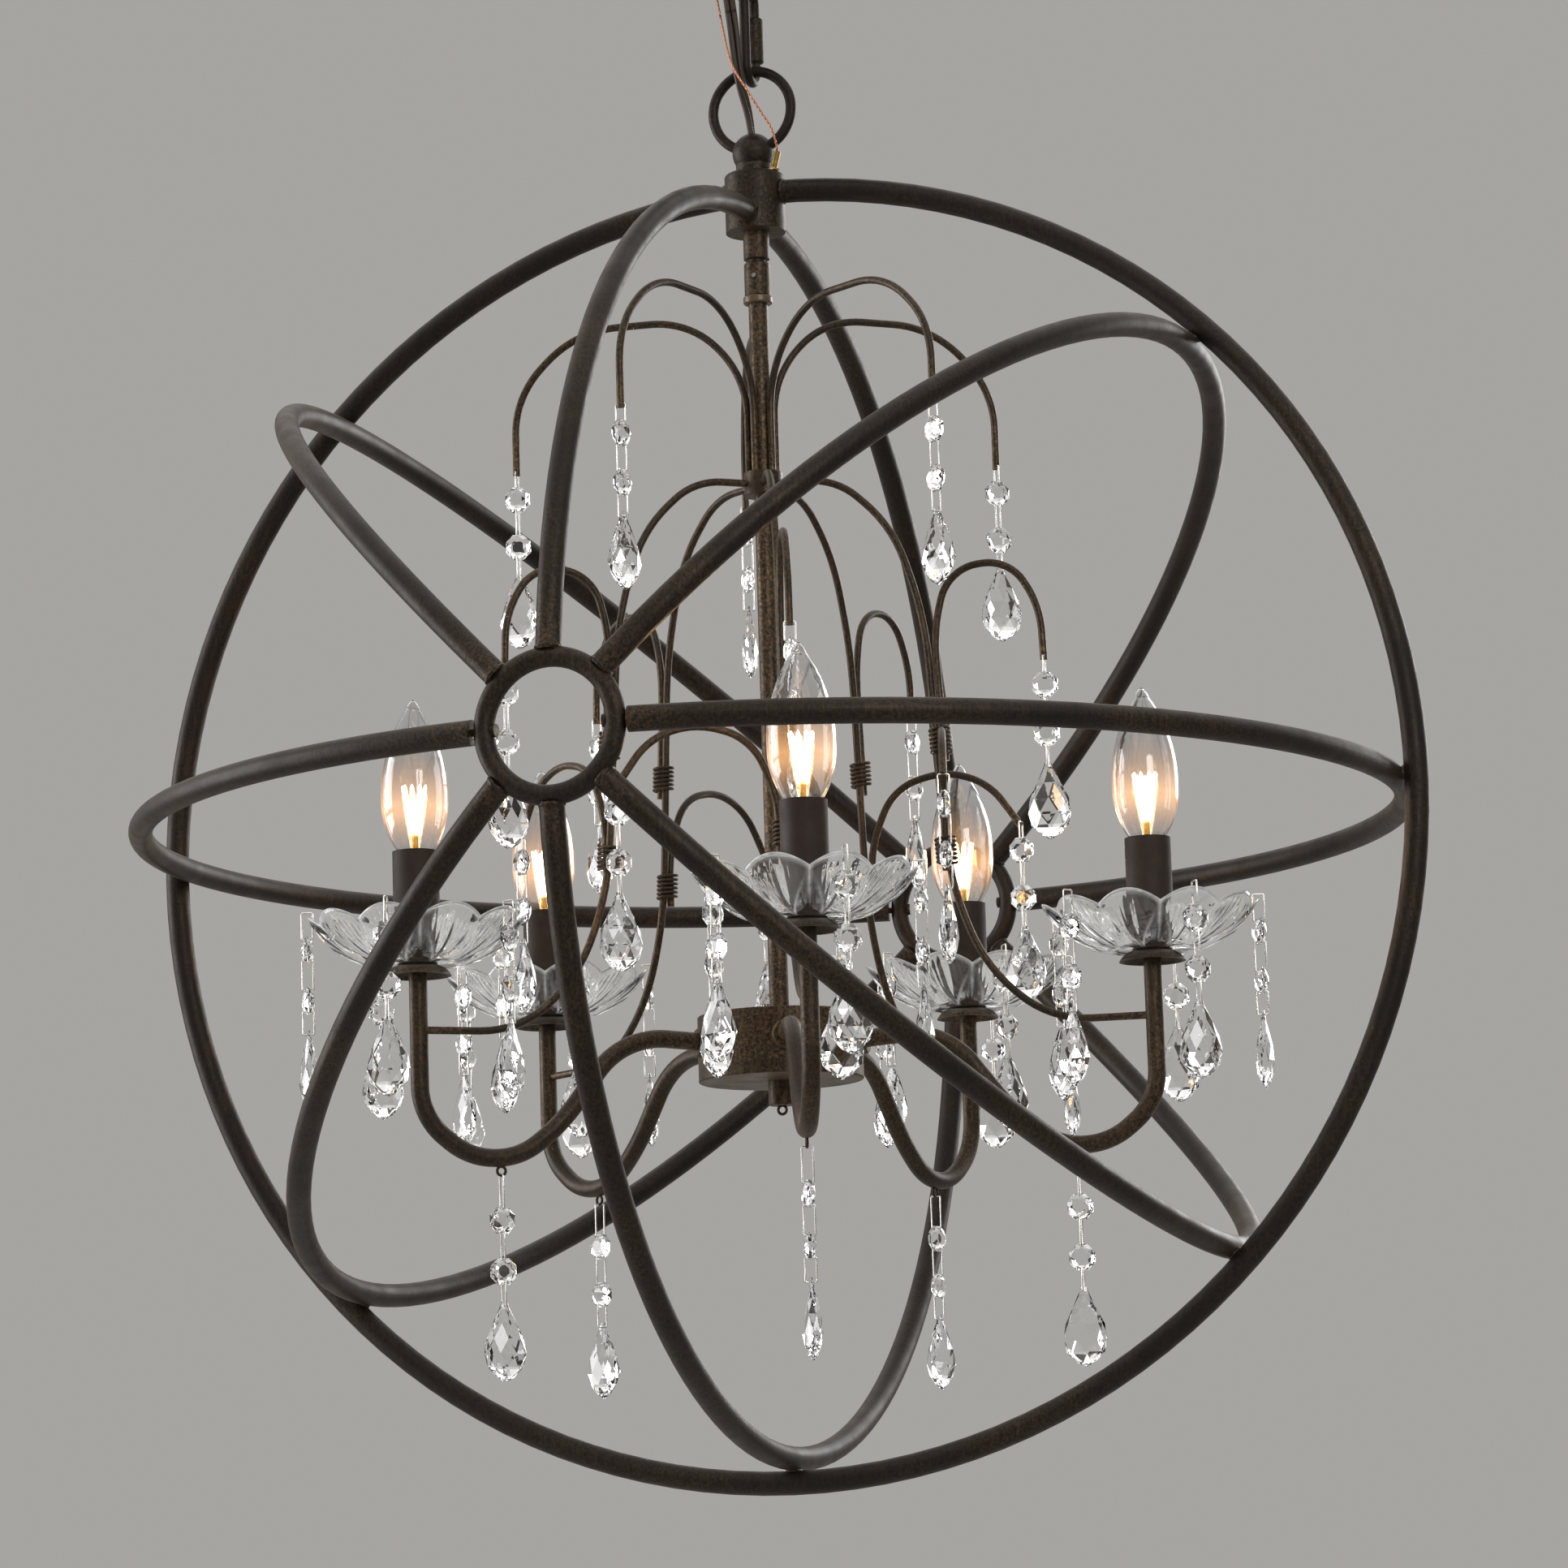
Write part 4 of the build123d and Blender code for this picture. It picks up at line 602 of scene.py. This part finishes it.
def strand_parts(extra, turns, spots, seed):
    """Crystals and clips of strands hung from holes at the spots, each crystal a touch askew."""
    turns, spots = np.asarray(turns, float), np.asarray(spots, float)
    first, second, drop = -BEAD_DROP - extra, -BEAD_DROP - extra - BEAD_PITCH, -DROP_TOP - extra
    hung = [(bead_shape(), first), (bead_shape(), second), (drop_shape(), drop)]
    sway = np.random.default_rng(seed).uniform(-SWAY, SWAY, (len(hung), len(turns)))
    stones = joined(*[repeated(*shape, turns + sway[i], spots + (0, 0, z))
                      for i, (shape, z) in enumerate(hung)])
    spans = [(0, first + BEAD_HOLE), (first - BEAD_HOLE, second + BEAD_HOLE),
             (second - BEAD_HOLE, drop - DROP_HOLE)]
    wires = joined(*[repeated(*clip_shape(high - CLIP_SLACK, low + CLIP_SLACK), turns, spots)
                     for high, low in spans])
    return stones, wires


def turned_about(x, y, angle):
    """A point turned about the upright axis by an angle in degrees, or by each of several."""
    a = np.radians(np.asarray(angle, float))
    return x * np.cos(a) - y * np.sin(a), x * np.sin(a) + y * np.cos(a)


def add_strands(node, body, extra, place, z, turns, seed):
    """One node's strands as two pieces: faceted crystals, and the wire clips between them."""
    x, y = place
    spots = np.stack([x, y, np.broadcast_to(z, np.shape(x))], -1)
    (stones, stone_faces), (wires, wire_faces) = strand_parts(extra, turns, spots, seed)
    piece = make_piece(node.replace("strand", "crystal"), in_frame(stones), stone_faces,
                       cut_crystal, body, smooth=False)
    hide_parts(node)
    make_piece(node.replace("strand", "clip"), in_frame(wires), wire_faces, clip_metal, body)


angles = np.array(arm_angles)
for i, name in enumerate(arm_names):
    angle = angles[i:i + 1]
    add_strands(f"arm_strand_{name}", f"strand_{name}", LONG_CLIP_EXTRA,
                turned_about(ARM_LOW_R, 0, angle), EYELET_HANG, angle, 10 + i)
between_arms = angles + ARM_STEP // 2
add_strands("spray_strands", "column", 0.0, turned_about(SPRAY_END_R, 0, between_arms),
            SPRAY_HANG, between_arms, 20)
add_strands("upper_twig_strands", "column", 0.0, turned_about(UPPER_TWIG_END_R, 0, angles),
            UPPER_TWIG_HANG, angles, 21)
reach_x, reach_y = turned_about(LOWER_TWIG_REACH, 0, LOWER_TWIG_TURN)
foot_x, foot_y = LOWER_TWIG_FOOT
add_strands("lower_twig_strands", "column", 0.0,
            turned_about(foot_x + reach_x, foot_y + reach_y, angles),
            LOWER_TWIG_HANG, angles + LOWER_TWIG_TURN, 22)
arm_of = np.repeat(angles, STRANDS_PER_DISH)
petal_steps = 360 / STRANDS_PER_DISH * np.arange(STRANDS_PER_DISH)
petal_of = np.repeat(np.array(DISH_TURNS), STRANDS_PER_DISH) + np.tile(petal_steps, len(angles))
rim_x, rim_y = turned_about(RIM_HANG_R, 0, petal_of)
add_strands("dish_strands", "column", RIM_CLIP_EXTRA, turned_about(ARM_R + rim_x, rim_y, arm_of),
            RIM_HANG, 90 + petal_of + arm_of, 23)


# ---- pressed glass dishes ------------------------------------------------------------------
DISH_HOLE_R = 4.6       # hole for the candle's nipple
DISH_FLOOR = 4.0
RIM_WALL, FOOT_WALL = 1.7, 3.0
PETAL_RISE, POINT_RISE, RIDGE_RISE, PUSH_BACK = 2.1, 3.6, 1.0, 1.9
LINE = 0.07             # half width of a painted highlight line, as a share of half a petal


def arc_radius_height(t):
    """The dish's outer profile: an arc from the foot, through a low swell, up to the rim."""
    a = np.array([DISH_FOOT_R, 0.0])
    b = np.array([DISH_R * 0.76, DISH_H * 0.33])
    c = np.array([DISH_R + 1, DISH_H])
    flat = 2 * np.linalg.det(np.stack([b - a, c - a]))
    across = np.array([[c[1] - a[1], a[1] - b[1]], [a[0] - c[0], b[0] - a[0]]])
    centre = a + across @ np.array([(b - a) @ (b - a), (c - a) @ (c - a)]) / flat
    radius = np.linalg.norm(a - centre)
    start, end = (math.atan2(*(p - centre)[::-1]) for p in (a, c))
    angle = start + (end - start) * t
    return centre[0] + radius * np.cos(angle), centre[1] + radius * np.sin(angle)


def dish_shape():
    """A lotus dish of ten pressed petals.

    Outer wall: the profile, cut where the plan of ten discs ends, pushed out along each
    petal's middle and creased between petals, with a lower row of pointed petals between
    them. Inner wall: the same line 3 mm in, with shallow flutes. A flat floor closes both.
    Beside each point goes its share of painted highlight: the rim, the creases and the pointed
    petals' edges.
    """
    around, up = 30 * PETALS, 20
    angle = 2 * np.pi * np.arange(around) / around
    step = 2 * np.pi / PETALS
    off = (angle + step / 2) % step - step / 2
    reach = DISH_R - PETAL_R
    rim_r = reach * np.cos(off) + np.sqrt(PETAL_R ** 2 - (reach * np.sin(off)) ** 2)
    t_fine = np.linspace(0, 1, 200)
    rim_t = np.interp(rim_r, arc_radius_height(t_fine)[0], t_fine)
    t = np.linspace(0, 1, up)[:, None] * rim_t[None, :]
    r, z = arc_radius_height(t)
    share = np.abs(off / (step / 2))[None, :]
    petal = (1 - share ** 2) * np.clip(t * 1.6, 0, 1)
    risen = t / rim_t[None, :]
    between = 1 - share
    edge = 0.92 - 1.25 * t
    pointed = (np.clip(1 - (between / np.clip(edge, 0.02, 1)) ** 2, 0, 1)
               * np.clip(1 - t * 1.35, 0, 1))
    ridge = np.exp(-(share / 0.10) ** 2) * np.clip(1 - np.abs(t - 0.45) / 0.45, 0, 1)
    push = (PETAL_RISE * petal + POINT_RISE * pointed * np.clip(6 * t, 0, 1)
            + RIDGE_RISE * ridge - PUSH_BACK)
    flutes = np.cos(10 * np.pi * share) * np.clip(3 * t, 0, 1) * np.clip((1 - risen) * 4, 0, 1)
    ease = np.clip((1 - risen) * 5, 0, 1)
    outer_r, outer_z = r + push * ease * 0.75, z - push * ease * 0.45 * np.clip(t * 4, 0, 1)
    wall = FOOT_WALL - (FOOT_WALL - RIM_WALL) * risen ** 3
    inner_r = r - wall * (0.55 + 0.45 * t) + 0.7 * petal + 0.13 * flutes
    inner_z = z + wall * (1.0 - 0.55 * t) * (1 - risen ** 6)
    foot = np.full((1, around), DISH_HOLE_R)
    low, floor = np.zeros((1, around)), np.full((1, around), DISH_FLOOR)
    radius = np.concatenate([foot, outer_r, inner_r[::-1], foot])
    height = np.concatenate([low, outer_z, inner_z[::-1], floor]) + DISH_LOW
    points = np.stack([radius * np.cos(angle), radius * np.sin(angle), height], -1)
    # painted highlights, where light would catch the glass: the rim, the creases and the pointed
    # petals' edges
    rim = np.clip((risen - 0.93) / 0.07, 0, 1)
    crease = 0.75 * np.exp(-(between / LINE) ** 2) * np.clip(risen * 4 - 1.4, 0, 1)
    tip = np.exp(-((between - np.clip(edge, 0, 1)) / LINE) ** 2) * np.clip(1.5 - 2.2 * t, 0, 1)
    painted_highlight = np.clip(rim + np.maximum(crease, tip), 0, 1) * np.ones((1, around))
    plain = np.zeros((1, around))
    glint = np.concatenate([plain, painted_highlight, rim[::-1] * np.ones((1, around)), plain]).ravel()
    return points.reshape(-1, 3), [grid_faces(len(radius), around, True, True)], glint


dish_turns = angles + np.array(DISH_TURNS)
dish_x, dish_y = turned_about(ARM_R, 0, angles)
arm_spots = np.stack([dish_x, dish_y, 0 * dish_x], -1)
one_dish, one_skin, dish_glint = dish_shape()
dish_points, dish_faces = repeated(one_dish, one_skin, dish_turns, arm_spots)
# the second UV number carries each point's share of painted highlight
dish_uv = np.tile(np.stack([0.5 + 0 * dish_glint, dish_glint], -1), (len(angles), 1))
dishes = make_piece("petal_dishes", in_frame(dish_points), dish_faces, pressed_glass, "column",
                    uv=dish_uv)
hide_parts("glass_dishes")


# ---- filaments -----------------------------------------------------------------------------
def filament_shape():
    """A hot wire that rises and falls in a crown inside the bulb.

    Radius and height each swing in step with the angle, and a fine round outline goes along.
    """
    loops, sides, wire_r = 9, 6, 0.62
    low_r, spread, low_z, rise = 2.6, 3.6, CANDLE_TOP + 9, 25
    turn = np.linspace(0, 2 * np.pi, 16 * loops + 1)
    swing = 0.5 - 0.5 * np.cos(loops * turn)
    radius = low_r + spread * swing
    line = np.stack([radius * np.cos(turn), radius * np.sin(turn), low_z + rise * swing], -1)
    points = tube(line[:-1], circle(wire_r, sides), (0.31, 0.2, 0.93))[0]
    return points, [grid_faces(len(line) - 1, sides, True, True)]


filament_points, filament_faces = repeated(*filament_shape(), angles, arm_spots)
make_piece("filaments", in_frame(filament_points), filament_faces, hot_wire, "column")


# ---- welds ---------------------------------------------------------------------------------
def weld_dot(centre, out, along, sizes, seed):
    """A lumpy ellipsoid: a sphere's grid, its radius uneven by a few waves, along three axes."""
    out, along = np.asarray(out, float), np.asarray(along, float)
    third = np.cross(out, along)
    rows, cols = 11, 16
    u, v = np.meshgrid(np.linspace(0, np.pi, rows), 2 * np.pi * np.arange(cols) / cols,
                       indexing="ij")
    wave = np.random.default_rng(seed).uniform(0, 6, 3)
    lump = (1 + 0.08 * np.sin(3 * v + wave[0]) * np.sin(u)
            + 0.06 * np.sin(5 * v + 2 * u + wave[1]) * np.sin(u))
    a = sizes[0] * lump * np.cos(u)
    b = sizes[1] * lump * np.sin(u) * np.cos(v)
    c = sizes[2] * lump * np.sin(u) * np.sin(v)
    points = (a[..., None] * out + b[..., None] * along + c[..., None] * third
              + np.asarray(centre, float))
    return points.reshape(-1, 3), [grid_faces(rows, cols, wrap_cols=True)]


def weld_ring(centre, axis, radius, thick, seed):
    """A rippled bead round a tube's end: a torus whose thickness swells and falls as laid."""
    axis = np.asarray(axis, float) / np.linalg.norm(axis)
    hint = np.array([0.0, 0.0, 1.0]) if abs(axis[2]) < 0.8 else np.array([1.0, 0.0, 0.0])
    side = np.cross(axis, hint)
    side /= np.linalg.norm(side)
    over = np.cross(axis, side)
    wave = np.random.default_rng(seed).uniform(0, 6, 2)
    rows, cols = 48, 8
    u, v = np.meshgrid(2 * np.pi * np.arange(rows) / rows, 2 * np.pi * np.arange(cols) / cols,
                       indexing="ij")
    size = thick * (1 + 0.13 * np.sin(11 * u + wave[0]) + 0.10 * np.sin(3 * u + wave[1]))
    reach = radius + size * np.cos(v) * 0.75
    points = (reach * np.cos(u))[..., None] * side + (reach * np.sin(u))[..., None] * over
    points = points + (size * np.sin(v))[..., None] * axis + np.asarray(centre, float)
    return points.reshape(-1, 3), [grid_faces(rows, cols, True, True)]


def cage_welds():
    """Tacks where the hoops touch the outer ring, beads round the ends at pole rings and hub."""
    shapes = []
    for k, degrees in enumerate((0, 45, 135, 180, 225, 270, 315)):
        a = math.radians(degrees)
        out = (math.cos(a), 0.0, math.sin(a))
        centre = np.array(out) * (HOOP_R + TUBE_R)
        shapes.append(weld_dot(centre, out, (0, 1, 0), (2.0, 4.6, 4.2), k))
    limit = math.asin((POLE_R + POLE_BAR_R * 0.86) / HOOP_R)
    for k, degrees in enumerate((45, 90, 135, 225, 270, 315)):
        a = math.radians(degrees)
        for side in (-1, 1):
            outward = math.sin(limit) * HOOP_R
            centre = (outward * math.cos(a), side * math.cos(limit) * HOOP_R, outward * math.sin(a))
            axis = (math.cos(a) * math.cos(limit), -side * math.sin(limit),
                    math.sin(a) * math.cos(limit))
            shapes.append(weld_ring(centre, axis, TUBE_R * 0.93, 1.25, 20 + k))
    for side in (-1, 1):
        turn = math.asin(HUB_R / HOOP_R)
        shapes.append(weld_ring((0, side * HUB_R, math.cos(turn) * HOOP_R),
                                (0, math.cos(turn), -side * math.sin(turn)),
                                TUBE_R * 0.96, 1.5, 40 + side))
        turn = math.asin(HUB_R / RING_R)
        shapes.append(weld_ring((side * HUB_R, 0, math.cos(turn) * RING_R),
                                (math.cos(turn), 0, -side * math.sin(turn)),
                                TUBE_R * 0.96, 1.2, 50 + side))
    return joined(*shapes)


weld_points, weld_faces = cage_welds()
make_piece("cage_welds", in_frame(weld_points), weld_faces, weld_bronze, "cage")


# ---- floor, light and background -----------------------------------------------------------
def stage_floor():
    """A wide level plane far under the orb, plain pale grey with the faintest mottle."""
    edge = np.linspace(-FLOOR_HALF, FLOOR_HALF, 5)
    x, y = np.meshgrid(edge, edge, indexing="ij")
    points = np.stack([x, y, np.full_like(x, FLOOR_Z)], -1).reshape(-1, 3)
    mesh = bpy.data.meshes.new("floor")
    mesh.from_pydata(points.tolist(), [], grid_faces(len(edge), len(edge)).tolist())
    paint = moulded("floor_paint", (0.66, 0.65, 0.635, 1), 0.6, 0.97, size=3.0)
    shader = paint.node_tree.nodes["Principled BSDF"]
    shader.inputs["Emission Color"].default_value = (1.0, 0.98, 0.955, 1)
    seen = put(paint.node_tree, "ShaderNodeLightPath").outputs["Is Camera Ray"]
    lift = times(paint.node_tree, seen, 0.12)
    paint.node_tree.links.new(lift, shader.inputs["Emission Strength"])
    mesh.materials.append(paint)
    floor = bpy.data.objects.new("floor", mesh)
    scene.collection.objects.link(floor)


def soft_lamp(name, spot, size, watts, colour=(1, 1, 1)):
    """A rectangular lamp turned towards the middle of the orb."""
    lamp = bpy.data.lights.new(name, "AREA")
    lamp.shape = "RECTANGLE"
    lamp.size, lamp.size_y = size
    lamp.energy = watts
    lamp.color = colour
    holder = bpy.data.objects.new(name, lamp)
    holder.location = spot
    towards = Vector((0, 0, -0.52)) - Vector(spot)
    holder.rotation_euler = towards.to_track_quat("-Z", "Y").to_euler()
    scene.collection.objects.link(holder)


def room_light():
    """Even grey light from all round; rays that show the backdrop meet mid grey, paler overhead."""
    world = bpy.data.worlds.new("room")
    scene.world = world
    world.use_nodes = True
    tree = world.node_tree
    tree.nodes.clear()
    path = put(tree, "ShaderNodeLightPath")
    seen = times(tree, path.outputs["Is Camera Ray"], path.outputs["Is Glossy Ray"], "MAXIMUM")
    seen = times(tree, seen, path.outputs["Is Transmission Ray"], "MAXIMUM")
    lit = put(tree, "ShaderNodeBackground", None, Color=(0.62, 0.61, 0.60, 1), Strength=0.75)
    ahead = put(tree, "ShaderNodeTexCoord").outputs["Generated"]
    height = put(tree, "ShaderNodeSeparateXYZ", None, Vector=ahead).outputs[2]
    upward = ramp(tree, height, 0.34, 0.72)
    backdrop = blended(tree, upward, (0.385, 0.372, 0.358, 1), (1.35, 1.33, 1.30, 1))
    shown = put(tree, "ShaderNodeBackground", None, Color=backdrop, Strength=1.0)
    mixed = put(tree, "ShaderNodeMixShader", None, s0=seen, s1=lit.outputs[0], s2=shown.outputs[0])
    out = put(tree, "ShaderNodeOutputWorld")
    tree.links.new(mixed.outputs[0], out.inputs[0])


stage_floor()
soft_lamp("side_light", (-2.6, -0.5, -0.25), (1.6, 2.0), 60, (0.97, 0.98, 1.0))
soft_lamp("front_fill", (1.9, -2.4, 0.35), (1.2, 1.0), 26)
soft_lamp("back_rim", (0.9, 2.4, 0.2), (1.4, 1.0), 26)
room_light()
